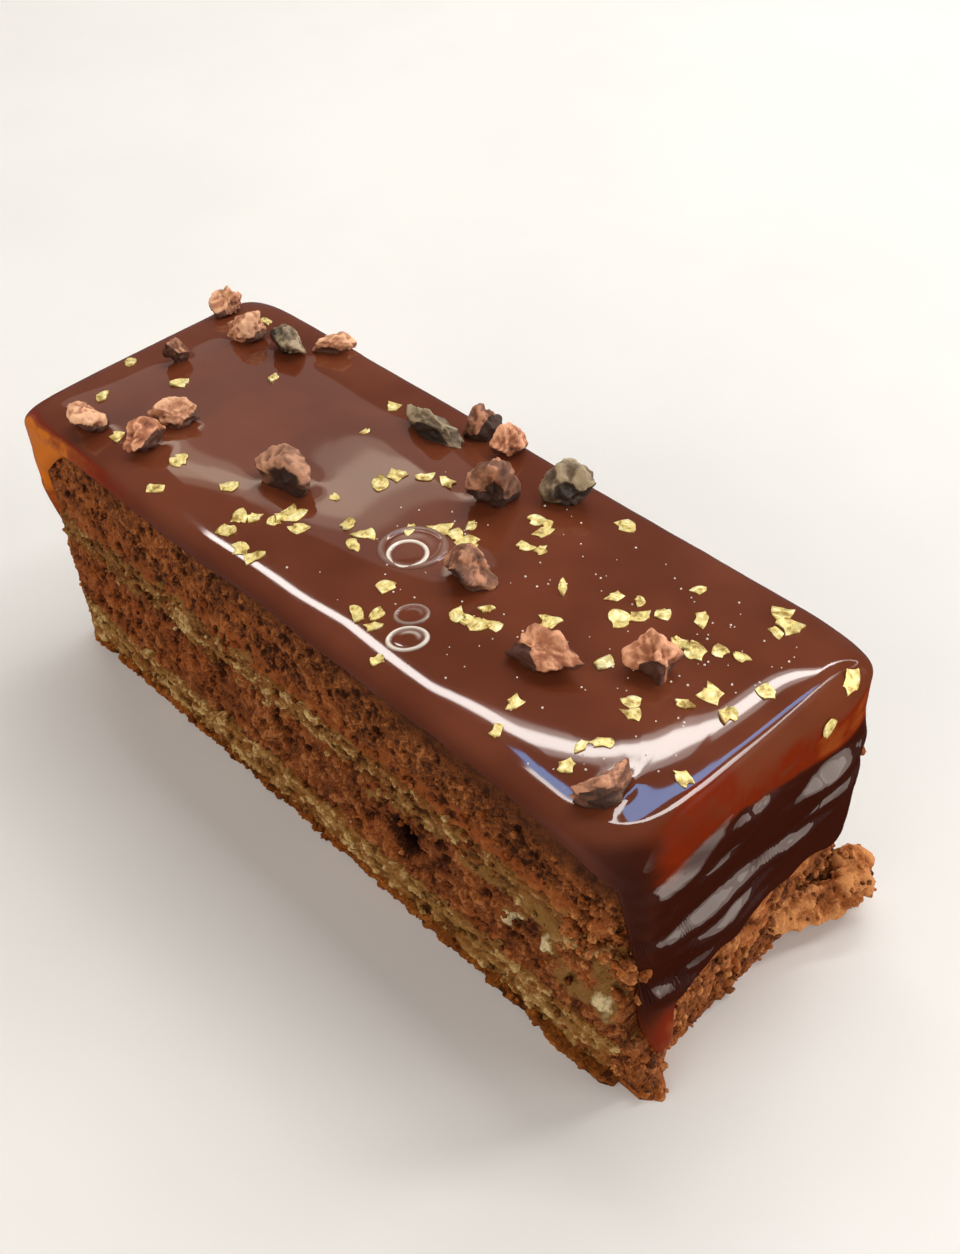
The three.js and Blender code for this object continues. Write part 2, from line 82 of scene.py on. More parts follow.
def whole_hash(seed, *cells):
    """A repeatable number from 0 to 1 for whole-number cells: each is multiplied by a large prime, and
    the bits are stirred by shifts and products."""
    mixed = np.full(np.broadcast_shapes(*(np.shape(cell) for cell in cells)), seed * 7919 + 17, np.uint32)
    for cell, prime in zip(cells, PRIMES):
        mixed = mixed ^ (np.asarray(cell, np.int64).astype(np.uint32) * np.uint32(prime))
        mixed = (mixed ^ (mixed >> np.uint32(15))) * np.uint32(0x2C1B3C6D)
        mixed = (mixed ^ (mixed >> np.uint32(12))) * np.uint32(0x297A2D39)
        mixed = mixed ^ (mixed >> np.uint32(15))
    return mixed / 2.0 ** 32


def ease(value):
    """A smooth step from 0 to 1."""
    value = np.clip(value, 0, 1)
    return value * value * (3 - 2 * value)


def bell(distance, reach):
    """A bell curve of height 1."""
    return np.exp(-(distance / reach) ** 2)


def dome(distance, reach):
    """Height of a half ball of height 1 at a distance from its middle."""
    return np.sqrt(np.clip(1 - (distance / reach) ** 2, 0, 1))


def sine_waves(waves, place, phase):
    """Sine waves summed, each with its height and rate: the first is shifted by the phase, the second by
    twice the phase, and so on."""
    return sum(height * np.sin(rate * place + phase * k) for k, (height, rate) in enumerate(waves, start=1))


def noise(seed, *places):
    """Smooth noise from -1 to 1: random values in whole-number cells, eased between neighbours."""
    floors = [np.floor(place) for place in places]
    shares = [ease(place - floor) for place, floor in zip(places, floors)]
    summed = 0
    for corner in itertools.product((0, 1), repeat=len(places)):
        weight = np.prod(np.broadcast_arrays(*(s if c else 1 - s for s, c in zip(shares, corner))), axis=0)
        summed = summed + weight * whole_hash(seed, *(floor + c for floor, c in zip(floors, corner)))
    return 2 * summed - 1


def fractal(seed, octaves, *places):
    """Noise summed over octaves, each twice as fine and half as strong."""
    layers = [noise(seed + k, *(place * 2 ** k for place in places)) / 2 ** k for k in range(octaves)]
    return sum(layers) / (2 - 2 ** (1 - octaves))


def crumb_cells(seed, u, v):
    """One random point stands in each unit cell: the distance to the nearest, and that point's number."""
    column, row = np.floor(u), np.floor(v)
    nearest = np.full(np.shape(u), 9.0)
    number = np.zeros(np.shape(u))
    for step, rise in itertools.product((-1, 0, 1), repeat=2):
        cell = (column + step, row + rise)
        distance = np.hypot(cell[0] + whole_hash(seed, *cell) - u, cell[1] + whole_hash(seed + 1, *cell) - v)
        closer = distance < nearest
        number = np.where(closer, whole_hash(seed + 2, *cell), number)
        nearest = np.where(closer, distance, nearest)
    return nearest, number


def scatter(*numbers):
    """A repeatable number from -1 to 1 for three whole numbers: the fraction of a large sine."""
    value = np.sin(sum(n * weight for n, weight in zip(numbers, (12.9898, 78.233, 37.719)))) * 43758.5453
    return 2 * (value - np.floor(value)) - 1


# Meshes from grids of points. A shell is its points, its quads, its triangles and a value for each point.

def grid_quads(rows, columns, wrap=False):
    """Corner numbers of the quads of a grid of points; wrap joins the last column to the first."""
    row, column = np.mgrid[0:rows - 1, 0:columns - (0 if wrap else 1)]
    after = (column + 1) % columns
    corners = (row * columns + column, row * columns + after,
               (row + 1) * columns + after, (row + 1) * columns + column)
    return np.stack(corners, -1).reshape(-1, 4)


def triangles_of(quads, tris):
    """All faces as triangles."""
    return np.concatenate([quads[:, [0, 1, 2]], quads[:, [0, 2, 3]], tris])


def shell(points, quads, tris=None, **values):
    """A closed shell whose faces point out: they are turned round where its signed volume, the sum of
    the triangles' triple products, is negative."""
    points = np.asarray(points, float).reshape(-1, 3)
    tris = np.zeros((0, 3), int) if tris is None else tris
    a, b, c = (points[triangles_of(quads, tris)[:, k]] for k in range(3))
    if np.einsum("ij,ij->", a, np.cross(b, c)) < 0:
        quads, tris = quads[:, ::-1], tris[:, ::-1]
    return points, quads, tris, {key: np.ravel(value) for key, value in values.items()}


def join(*shells):
    """One shell of several: the corner numbers of each are moved past the points before it."""
    starts = np.cumsum([0] + [len(s[0]) for s in shells[:-1]])
    keys = sorted(set().union(*(s[3] for s in shells)))
    blank = [np.zeros(len(s[0])) for s in shells]
    return (np.concatenate([s[0] for s in shells]),
            np.concatenate([s[1] + start for s, start in zip(shells, starts)]),
            np.concatenate([s[2] + start for s, start in zip(shells, starts)]),
            {key: np.concatenate([s[3].get(key, b) for s, b in zip(shells, blank)]) for key in keys})


def slab(front, back, front_values, back_values):
    """A closed shell between two grids of points with the same rows and columns: both grids, and a
    strip of quads round their rims."""
    rows, columns = front.shape[:2]
    number = np.arange(rows * columns).reshape(rows, columns)
    rim = np.concatenate([number[0, :-1], number[:-1, -1], number[-1, :0:-1], number[:0:-1, 0]])
    after = np.roll(rim, -1)
    behind = rows * columns
    quads = np.concatenate([grid_quads(rows, columns), grid_quads(rows, columns)[:, ::-1] + behind,
                            np.stack([after, rim, rim + behind, after + behind], -1)])
    values = {key: np.concatenate([np.ravel(front_values[key]), np.ravel(back_values[key])])
              for key in front_values}
    return shell(np.concatenate([front.reshape(-1, 3), back.reshape(-1, 3)]), quads, None, **values)


def smooth_path(knots, count):
    """Points along a smooth curve through knots: between two knots it is the cubic whose slope at each is
    half the step between that knot's neighbours."""
    knots = np.asarray(knots, float)
    knots = np.concatenate([[2 * knots[0] - knots[1]], knots, [2 * knots[-1] - knots[-2]]])
    place = np.linspace(0, len(knots) - 3, count)
    piece = np.minimum(place.astype(int), len(knots) - 4)
    t = (place - piece)[:, None]
    a, b, c, d = (knots[piece + k] for k in range(4))
    square = 2 * a - 5 * b + 4 * c - d
    cube = 3 * b - a - 3 * c + d
    return 0.5 * (2 * b + (c - a) * t + square * t ** 2 + cube * t ** 3)


def ball_faces(rings, columns):
    """Faces of a closed ball: rings of points between a first and a last pole."""
    quads = grid_quads(rings, columns, wrap=True) + 1
    turn = np.arange(columns)
    after = (turn + 1) % columns
    last = rings * columns + 1
    top = np.stack([np.zeros(columns, int), after + 1, turn + 1], -1)
    foot = np.stack([np.full(columns, last), turn + last - columns, after + last - columns], -1)
    return quads, np.concatenate([top, foot])


def ball_directions(rings, columns):
    """Directions from a ball's middle to its points: the upper pole, rings by height angle, the lower."""
    tilt = np.pi * (np.arange(rings) + 1) / (rings + 1)
    turn = 2 * np.pi * np.arange(columns) / columns
    ring = np.stack([np.outer(np.sin(tilt), np.cos(turn)), np.outer(np.sin(tilt), np.sin(turn)),
                     np.outer(np.cos(tilt), np.ones(columns))], -1)
    return np.concatenate([[[0, 0, 1]], ring.reshape(-1, 3), [[0, 0, -1]]])


def balls(points, rings, columns, **values):
    """Many closed balls in one shell, from an array of copies, points and places."""
    copies, count = points.shape[:2]
    quads, tris = ball_faces(rings, columns)
    starts = np.arange(copies)[:, None, None] * count
    return shell(points, (quads + starts).reshape(-1, 4), (tris + starts).reshape(-1, 3), **values)


def make_piece(name, made, material, slot, *nodes):
    """Puts a shell into the frame as a smooth mesh with its values as attributes, on or over the floor."""
    points, quads, tris, values = made
    points = np.maximum(points, [-np.inf, -np.inf, 0])
    mesh = bpy.data.meshes.new(name)
    mesh.vertices.add(len(points))
    mesh.vertices.foreach_set("co", ((points + MIDDLE) * MM).astype(np.float32).ravel())
    corners = np.concatenate([quads.ravel(), tris.ravel()]).astype(np.int32)
    starts = np.concatenate([np.arange(len(quads)) * 4, len(quads) * 4 + np.arange(len(tris)) * 3])
    mesh.loops.add(len(corners))
    mesh.loops.foreach_set("vertex_index", corners)
    mesh.polygons.add(len(starts))
    mesh.polygons.foreach_set("loop_start", starts.astype(np.int32))
    mesh.update(calc_edges=True)
    mesh.shade_smooth()
    for key, value in values.items():
        mesh.attributes.new(key, "FLOAT", "POINT").data.foreach_set("value", value.astype(np.float32))
    mesh.materials.append(material)
    piece = bpy.data.objects.new(name, mesh)
    bpy.context.scene.collection.objects.link(piece)
    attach(piece, "root")
    if nodes:
        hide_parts(*nodes)


# Materials

def paint(red, green, blue):
    """A linear colour from screen values."""
    shares = np.array([red, green, blue]) / 255
    linear = np.where(shares <= 0.04045, shares / 12.92, ((shares + 0.055) / 1.055) ** 2.4)
    return (*linear, 1.0)


def add_node(tree, kind, inputs=None, **settings):
    """Adds a shader node, sets its options, and sets or links its inputs by name or number."""
    made = tree.nodes.new("ShaderNode" + kind)
    for key, value in settings.items():
        setattr(made, key, value)
    for key, value in (inputs or {}).items():
        if isinstance(value, bpy.types.NodeSocket):
            tree.links.new(value, made.inputs[key])
        else:
            made.inputs[key].default_value = value
    return made


def attribute(tree, name):
    """A value that the mesh carries at its points."""
    return add_node(tree, "Attribute", attribute_name=name).outputs["Fac"]


def math_node(tree, operation, first, second=0.0, third=0.0):
    """One operation on up to three values."""
    return add_node(tree, "Math", {0: first, 1: second, 2: third}, operation=operation).outputs[0]


def total(tree, first, *others):
    """The sum of several values."""
    for other in others:
        first = math_node(tree, "ADD", first, other)
    return first


def spread(tree, value, width):
    """A value from 0 to 1, spread over a width about 0."""
    return math_node(tree, "MULTIPLY_ADD", value, width, -width / 2)


def ramp(tree, value, low, high):
    """0 below low, 1 above high, and a smooth step between."""
    return add_node(tree, "MapRange", {"Value": value, "From Min": low, "From Max": high},
                    interpolation_type="SMOOTHSTEP").outputs[0]


def blend(tree, share, first, second):
    """Mixes two colours by a share."""
    return add_node(tree, "Mix", {0: share, 6: first, 7: second}, data_type="RGBA").outputs[2]


def grain(tree, size, detail=3.0, roughness=0.6):
    """Noise from 0 to 1 whose patches have a size in millimetres."""
    place = add_node(tree, "TexCoord").outputs["Object"]
    settings = {"Vector": place, "Scale": 1 / (size * MM), "Detail": detail, "Roughness": roughness}
    return add_node(tree, "TexNoise", settings).outputs["Fac"]


def threads(tree, size, lean, stretch):
    """Torn threads, 1 on a thread and 0 in the gaps: the lines where a noise crosses its middle value,
    leaning along the bar as they rise."""
    place = add_node(tree, "SeparateXYZ", {0: add_node(tree, "TexCoord").outputs["Object"]}).outputs
    along = math_node(tree, "MULTIPLY_ADD", place[2], -lean, place[0])
    upward = math_node(tree, "DIVIDE", place[2], stretch)
    leaning = add_node(tree, "CombineXYZ", {0: along, 1: place[1], 2: upward}).outputs[0]
    settings = {"Vector": leaning, "Scale": 1 / (size * MM), "Detail": 1.5, "Distortion": 0.4}
    wave = add_node(tree, "TexNoise", settings).outputs["Fac"]
    away = math_node(tree, "ABSOLUTE", math_node(tree, "SUBTRACT", wave, 0.5))
    return math_node(tree, "SUBTRACT", 1.0, ramp(tree, away, 0.0, 0.11))


def new_group(name, colours):
    """An empty shader node group that takes named colours and gives a colour and a height."""
    group = bpy.data.node_groups.new(name, "ShaderNodeTree")
    for key in colours:
        group.interface.new_socket(key, in_out="INPUT", socket_type="NodeSocketColor")
    for key, kind in (("Colour", "NodeSocketColor"), ("Height", "NodeSocketFloat")):
        group.interface.new_socket(key, in_out="OUTPUT", socket_type=kind)
    return group, group.nodes.new("NodeGroupInput").outputs, group.nodes.new("NodeGroupOutput").inputs


CRUMB_COLOURS = ("Hollow", "Body", "Crest", "Warm", "Sponge", "Cream")
# The pit colour darkens deep pits and torn holes: painted shade.
PIT_SHADE, NO_SHADE = (0.12, 0.08, 0.06, 1), (1, 1, 1, 1)


def crumb_group():
    """Broken crumb: dark in its hollows and pale on its crests, by the mesh's tone and by torn threads, which
    is painted shade and painted light that follow the relief; warmed by its warmth; turned to sponge and then
    to cream by its smear; and darkest in deep pits, as painted shade."""
    group, given, made = new_group("Crumb", CRUMB_COLOURS)
    fine = grain(group, 0.3)
    torn = attribute(group, "torn")
    strands = threads(group, size=0.85, lean=0.35, stretch=1.4)
    speckle = spread(group, fine, 0.6)
    drift = spread(group, grain(group, 3.5, detail=2.0), 0.5)
    pull = math_node(group, "MULTIPLY", torn, 0.5)
    lift = math_node(group, "MULTIPLY", math_node(group, "SUBTRACT", strands, 0.4), pull)
    # The tone is lifted on the threads and grain that also raise the relief: painted light on crests, painted
    # shade in gaps.
    tone = total(group, attribute(group, "tone"), speckle, drift, lift)
    warmth = math_node(group, "MULTIPLY_ADD", drift, 0.8, attribute(group, "warmth"))
    smear = math_node(group, "MULTIPLY_ADD", speckle, 0.9, attribute(group, "smear"))
    body = blend(group, ramp(group, warmth, 0.1, 0.8), given["Body"], given["Warm"])
    colour = blend(group, ramp(group, tone, 0.0, 0.5), given["Hollow"], body)
    colour = blend(group, ramp(group, tone, 0.5, 1.15), colour, given["Crest"])
    colour = blend(group, ramp(group, smear, 0.12, 0.5), colour, given["Sponge"])
    colour = blend(group, ramp(group, smear, 0.55, 1.15), colour, given["Cream"])
    shade = blend(group, ramp(group, tone, -1.1, 0.2), PIT_SHADE, NO_SHADE)
    colour = add_node(group, "Mix", {0: 1.0, 6: colour, 7: shade}, data_type="RGBA", blend_type="MULTIPLY")
    relief = math_node(group, "MULTIPLY_ADD", strands, math_node(group, "MULTIPLY", torn, 0.9), fine)
    group.links.new(colour.outputs[2], made["Colour"])
    group.links.new(relief, made["Height"])
    return group


HUSK_COLOURS = ("Body", "Crown", "Skin")


def husk_group():
    """A nib's broken surface: body colour with a pale crown and veins by its tone, the crown partly painted
    light, and near-black skin and painted shade where the mesh says it is dark."""
    group, given, made = new_group("Husk", HUSK_COLOURS)
    veins = grain(group, 0.9, detail=5.0, roughness=0.65)
    tone = total(group, attribute(group, "tone"), spread(group, veins, 0.9))
    skin = total(group, attribute(group, "dark"), spread(group, veins, 0.5))
    colour = blend(group, ramp(group, tone, 0.0, 0.55), given["Skin"], given["Body"])
    colour = blend(group, ramp(group, tone, 0.5, 1.05), colour, given["Crown"])
    colour = blend(group, ramp(group, skin, 0.35, 0.75), colour, given["Skin"])
    group.links.new(colour, made["Colour"])
    group.links.new(veins, made["Height"])
    return group


def new_material(name, roughness, **settings):
    """A material with its own shader, whose plain values are set on the shader's sockets."""
    material = bpy.data.materials.new(name)
    material.use_nodes = True
    shader = material.node_tree.nodes["Principled BSDF"]
    shader.inputs["Roughness"].default_value = roughness
    for key, value in settings.items():
        shader.inputs[key.replace("_", " ")].default_value = value
    return material, material.node_tree, shader


def bump(tree, shader, height, strength, distance):
    """Fine relief from a height, in millimetres."""
    made = add_node(tree, "Bump", {"Strength": strength, "Distance": distance * MM, "Height": height})
    tree.links.new(made.outputs[0], shader.inputs["Normal"])


def grouped_material(name, group, keys, colours, roughness, gloss, strength, distance):
    """A material whose colour and relief come from a group, with its own colours as screen values."""
    material, tree, shader = new_material(name, roughness, Specular_IOR_Level=gloss)
    given = {key: paint(*colour) for key, colour in zip(keys, colours)}
    placed = add_node(tree, "Group", given, node_tree=group)
    tree.links.new(placed.outputs["Colour"], shader.inputs["Base Color"])
    bump(tree, shader, placed.outputs["Height"], strength, distance)
    return material


def crumb_material(name, group, colours):
    """Dry crumb in its own colours: hollow, body, crest, warm, sponge and cream."""
    return grouped_material(name, group, CRUMB_COLOURS, colours, 0.85, 0.12, 0.7, 0.22)


def husk_material(name, group, colours):
    """A nib's faintly glossy finish in its own colours: body, crown, and dark skin that also serves as
    painted shade.
    """
    return grouped_material(name, group, HUSK_COLOURS, colours, 0.62, 0.4, 0.8, 0.4)


# Colours of the glaze and the gold leaf, as screen values; the glaze's pale glint colour is a painted
# highlight
GLAZE_PAINTS = dict(brown=(100, 48, 28), cloud=(113, 58, 36), thick=(54, 21, 12), red=(116, 36, 12),
                    amber=(140, 66, 26), golden=(196, 106, 20), foam=(246, 236, 222))
# The leaf's glint colour is a painted highlight and its crease colour painted shade, both on the same noise
# as its bumps.
LEAF_PAINTS = dict(crease=(168, 134, 62), foil=(234, 212, 128), glint=(255, 246, 188))


def glaze_material():
    """Mirror glaze: dark brown where thick, red amber and then golden where the mesh says it is thin, with
    faint clouds, and near-white where highlights are painted on bubble rims and specks. Its clear coat is
    weaker where it has set against the crumb."""
    material, tree, shader = new_material("mirror_glaze", 0.5, Specular_IOR_Level=0.0,
                                          Coat_IOR=1.47, Coat_Roughness=0.04)
    paints = {key: paint(*colour) for key, colour in GLAZE_PAINTS.items()}
    clouds = grain(tree, 14.0, detail=2.0)
    brown = blend(tree, ramp(tree, clouds, 0.35, 0.65), paints["brown"], paints["cloud"])
    dark = blend(tree, attribute(tree, "thick"), brown, paints["thick"])
    thin = attribute(tree, "amber")
    amber = math_node(tree, "MULTIPLY_ADD", spread(tree, grain(tree, 3.2), 1.6), thin, thin)
    glow = blend(tree, ramp(tree, amber, 0.05, 0.6), dark, paints["red"])
    glow = blend(tree, ramp(tree, amber, 0.5, 1.1), glow, paints["amber"])
    glow = blend(tree, ramp(tree, amber, 1.1, 1.7), glow, paints["golden"])
    colour = blend(tree, attribute(tree, "foam"), glow, paints["foam"])
    tree.links.new(colour, shader.inputs["Base Color"])
    tree.links.new(attribute(tree, "sheen"), shader.inputs["Coat Weight"])
    bump(tree, shader, grain(tree, 1.6, detail=2.0), 0.02, 0.2)
    return material


def gold_material():
    """Gold leaf: pale yellow foil, darker in its creases as painted shade and with painted glints where it is
    raised, more a soft sheen than a mirror.
    """
    material, tree, shader = new_material("gold_leaf", 0.36, Metallic=0.2, Specular_IOR_Level=0.6)
    paints = {key: paint(*colour) for key, colour in LEAF_PAINTS.items()}
    creases = grain(tree, 0.9, detail=3.0, roughness=0.6)
    colour = blend(tree, ramp(tree, creases, 0.34, 0.5), paints["crease"], paints["foil"])
    colour = blend(tree, ramp(tree, creases, 0.5, 0.68), colour, paints["glint"])
    tree.links.new(colour, shader.inputs["Base Color"])
    bump(tree, shader, creases, 0.8, 0.35)
    return material


# Layers of cake, from the floor up: the height, waves and jagged line of the seam above each, how far its
# cut stands out, its rows of points, the size, stretch and relief of its torn lumps, and the share and depth
# of its pits

LAYERS = (
    dict(node="base_crust", top=1.5, wave=0.25, jag=0.3, stand=0.1, rows=12,
         lump=1.5, tall=0.8, relief=0.45, pits=0.25, pit_depth=0.4, slot="crust"),
    dict(node="lower_sponge", top=7.1, wave=0.5, jag=1.1, stand=0.0, rows=36,
         lump=1.3, tall=1.0, relief=0.34, pits=0.3, pit_depth=0.5, slot="sponge"),
    dict(node="lower_mousse", top=19.0, wave=0.6, jag=1.2, stand=-0.1, rows=70,
         lump=1.3, tall=1.4, relief=0.42, pits=0.34, pit_depth=0.7, slot="dark_mousse"),
    dict(node="upper_sponge", top=22.9, wave=0.5, jag=0.9, stand=0.0, rows=26,
         lump=1.2, tall=0.9, relief=0.38, pits=0.36, pit_depth=0.6, slot="sponge"),
    dict(node="upper_mousse", top=CAKE_TOP, wave=0.0, jag=0.0, stand=-0.1, rows=78,
         lump=0.95, tall=1.5, relief=0.24, pits=0.3, pit_depth=0.33, slot="mousse"),
)
STATIONS = 620
SEAM_WAVES = ((0.6, 0.13), (0.4, 0.31))
SEAM_PHASE = 1.3
LOWER_MOUSSE = 2
SEAM_SAG = dict(layer=LOWER_MOUSSE, x=37.0, reach=8.0, depth=1.6)
CRUST_FLARE = 1.1
LEAN = 0.3
CORNER_TRIM = dict(depth=0.9, length=2.0)
LUMPY_BELOW, SMOOTH_ABOVE = 26.8, 32.2

# Torn holes: side, place, reach and depth; the depth also darkens them, as painted shade
HOLES = ((NEAR, 17.2, 13.2, 1.6, 3.2), (FAR, -14.0, 13.0, 1.5, 1.4))

# Sponge and cream smeared over the cut: side, place, reach along and up, and 0.5 for sponge or 1 for cream
SMEARS = (
    (NEAR, 38.5, 19.5, 3.0, 2.8, 0.5), (NEAR, 47.0, 18.6, 3.0, 4.0, 0.5), (NEAR, 31.0, 18.8, 2.6, 1.2, 0.5),
    (NEAR, 39.0, 15.8, 1.2, 2.6, 1.0), (NEAR, 33.5, 14.9, 1.0, 1.5, 0.95), (NEAR, 46.5, 13.2, 1.7, 3.6, 1.0),
    (NEAR, 35.2, 17.0, 0.8, 0.9, 0.9), (NEAR, 42.5, 12.5, 3.6, 3.2, 0.5), (NEAR, 13.0, 16.6, 2.0, 1.0, 0.5),
    (FAR, -30.0, 18.8, 3.0, 2.4, 0.5), (FAR, -31.5, 15.4, 1.2, 2.2, 1.0), (FAR, 12.0, 18.4, 3.2, 1.6, 0.5),
    (FAR, 14.5, 15.8, 1.0, 1.6, 1.0), (FAR, 40.0, 14.0, 1.2, 2.0, 0.9),
)


def seam_height(index, x, side):
    """Height of the seam above a layer: two sine waves along the bar, a sag under the upper sponge, and
    a jagged line of noise at the cut."""
    if index < 0:
        return np.zeros_like(x)
    layer = LAYERS[index]
    ripple = sine_waves(SEAM_WAVES, x, SEAM_PHASE * index)
    sag = SEAM_SAG["depth"] * bell(x - SEAM_SAG["x"], SEAM_SAG["reach"]) * (index == SEAM_SAG["layer"])
    jag = layer["jag"] * fractal(40 + index, 4, x / 3.2, np.full_like(x, side * 9.7))
    return layer["top"] + layer["wave"] * ripple - sag + jag


def torn_relief(seed, x, z, layer):
    """Torn crumb: leaning cells of two sizes hold rounded lumps of uneven height, some cells are pulled out
    as pits, and slow noise swells the whole. Returns the relief and its tone, paler on lumps and dark in
    hollows and pits: painted light and painted shade that follow the relief, with some random change."""
    warp = 0.45 * fractal(seed + 30, 2, x / 1.6, z / 1.6)
    along, up = x - LEAN * z + warp, z / layer["tall"] + 0.6 * warp
    big, big_number = crumb_cells(seed, along / layer["lump"], up / layer["lump"])
    small, small_number = crumb_cells(seed + 5, along / (0.45 * layer["lump"]), up / (0.45 * layer["lump"]))
    pit, pit_number = crumb_cells(seed + 10, along / (1.2 * layer["lump"]), up / (1.2 * layer["lump"]))
    lumps = (0.55 * dome(big, 0.85) * (0.35 + 0.65 * big_number)
             + 0.45 * dome(small, 0.85) * (0.2 + 0.8 * small_number))
    pulled = ease((layer["pits"] - pit_number) / 0.12) * ease((0.6 - pit) / 0.4)
    swell = fractal(seed + 20, 3, x / 7, z / 7)
    relief = layer["relief"] * (2 * lumps - 0.85) - layer["pit_depth"] * pulled + 0.3 * swell
    tone = 0.95 * lumps + 0.2 * (big_number - 0.5) + 0.18 * swell - 0.55 * pulled
    return relief, tone


def smear_amount(x, z, side):
    """How much sponge or cream covers a place: the strongest of the smears, each a bell whose edge is
    broken up by noise."""
    ragged = 0.55 * fractal(71, 3, x / 1.5, z / 1.5)
    covered = np.zeros(np.shape(z))
    for smear_side, px, pz, along, up, strength in SMEARS:
        spot = bell(np.hypot((x - px) / along, (z - pz) / up), 1) + 0.5 * ragged
        covered = np.maximum(covered, strength * ease(1.6 * spot - 0.35) * (smear_side == side))
    return covered


def mousse_zones(seed, x, z, relief, tone, warmth):
    """The upper mousse's own relief, tone, warmth and tearing: smoother under the glaze and darker there as
    painted shade under the glaze's lip, most of all towards the right end, and at its foot as lumpy as the
    lower mousse, and warm."""
    coarse, coarse_tone = torn_relief(seed + 7, x, z, LAYERS[LOWER_MOUSSE])
    foot = ease((LUMPY_BELOW - z + 1.6 * fractal(seed + 41, 3, x / 4, z / 3)) / 1.8)
    smooth = ease((z - SMOOTH_ABOVE + 0.11 * np.clip(x - 12, -6, 32)) / 3.0)
    relief = relief * (1 - 0.8 * smooth) * (1 - foot) + 0.75 * coarse * foot
    # The smooth zone's tone is pushed dark: painted shade under the glaze's lip.
    tone = (tone * (1 - smooth) + (0.12 + 0.2 * tone) * smooth) * (1 - foot) + coarse_tone * foot
    warmth = warmth * (1 - smooth) * (1 - foot) + 0.85 * foot
    return relief, tone, warmth, (1 - 0.85 * smooth) * (1 - 0.6 * foot)


def cut_side(index, side):
    """A layer's cut side: a grid along the bar and from seam to seam, standing out by its relief. Crumbs
    of the neighbours cling near its seams, holes are torn into the lower mousse, and the corners are
    rubbed off."""
    layer = LAYERS[index]
    seed = 100 * (index + 1) + 50 * (side == FAR)
    x = np.linspace(-CAKE_END, CAKE_END, STATIONS)[None, :]
    share = np.linspace(0, 1, layer["rows"])[:, None]
    low, high = seam_height(index - 1, x, side), seam_height(index, x, side)
    z = low * (1 - share) + high * share
    x = np.broadcast_to(x, z.shape)
    relief, tone = torn_relief(seed, x, z, layer)
    torn = np.full(z.shape, 0.7)
    blots = fractal(seed + 42, 3, x / 1.9, z / 1.5)
    seam = np.minimum(z - low, np.where(index < len(LAYERS) - 1, high - z, 9))
    mixed = ease(0.55 - seam / 1.5 + 1.5 * blots)
    smear = smear_amount(x, z, side) * (index > 0)
    warmth = 0.3 + 0.6 * fractal(seed + 40, 2, x / 6, z / 3)
    if layer["slot"] == "sponge":
        warmth = np.maximum(0.35 + 0.9 * fractal(seed + 43, 3, x / 3, z / 1.6), mixed)
        torn = torn * 0.5
    else:
        warmth = warmth + 0.35 * ease((-12 - x) / 30)
        smear = np.maximum(smear, 0.42 * mixed * (index > 0))
    if layer["node"] == "upper_mousse":
        relief, tone, warmth, torn = mousse_zones(seed, x, z, relief, tone, warmth)
    flare = CRUST_FLARE * ((x + CAKE_END) / (2 * CAKE_END)) ** 6 * (index == 0)
    relief = relief + 0.35 * smear * (smear > 0.6)
    for hole_side, hole_x, hole_z, reach, depth in HOLES if index == LOWER_MOUSSE else ():
        gone = bell(np.hypot(x - hole_x, (z - hole_z) / 1.2), reach) * (hole_side == side)
        relief = relief - depth * gone
        # Torn holes are darkened by their depth: painted shade.
        tone = tone - 1.1 * depth * gone
    trim = CORNER_TRIM["depth"] * np.clip(1 - (CAKE_END - np.abs(x)) / CORNER_TRIM["length"], 0, 1) ** 2
    y = side * (CAKE_HALF + layer["stand"] + flare + relief - trim)
    return np.stack([x, y, z], -1), dict(tone=tone, warmth=warmth, smear=smear, torn=torn)


def layer_shell(index):
    """A layer that runs through the bar, between its two cut sides."""
    near, near_values = cut_side(index, NEAR)
    far, far_values = cut_side(index, FAR)
    return slab(near, far, near_values, far_values)


# Glaze: a top that rolls off all round, a crest over the ends, a lip at the cut sides and a sheet on each end

ROLL_WIDTH = 14.0
ROLL_POWER = 2.5
ROLL_DROP = 1.2
OUTLINE_POWER, CORNER_POWER = 4.0, 9.0
CORE_X, CORE_Y = HALF_LENGTH - ROLL_WIDTH, HALF_WIDTH - ROLL_WIDTH
CREST_REACH, CREST_FALL = 3.2, 3.8
LIP_REACH, LIP_FALL, LIP_DROP = 1.6, 1.5, 0.2
ARC = 0.55
EDGE = HALF_WIDTH - 1.5
CORE_ROWS, CORE_COLUMNS, CORNER_COLUMNS = 34, 110, 84
TOP_RINGS, CREST_RINGS, SHEET_RINGS = 28, 26, 84
LIP_SAGS = ((NEAR, -14.0, 11.0, 0.8), (NEAR, 15.5, 3.2, 0.6), (NEAR, 46.5, 8.0, 2.6), (NEAR, -50.5, 7.0, 8.0),
            (FAR, -20.0, 7.0, 1.0), (FAR, 45.0, 8.0, 1.8), (FAR, 8.0, 4.0, 0.7), (FAR, -48.0, 6.0, 3.0))
FOLD = dict(step=0.6, reach=3.2)

# Turn round a corner, from 0 at an end to 2 at a cut side, by which the sheet and the crest have faded, and
# over how much of a turn they fade
SHEET_FADE, CREST_FADE = (1.14, 0.3), (1.6, 1.2)

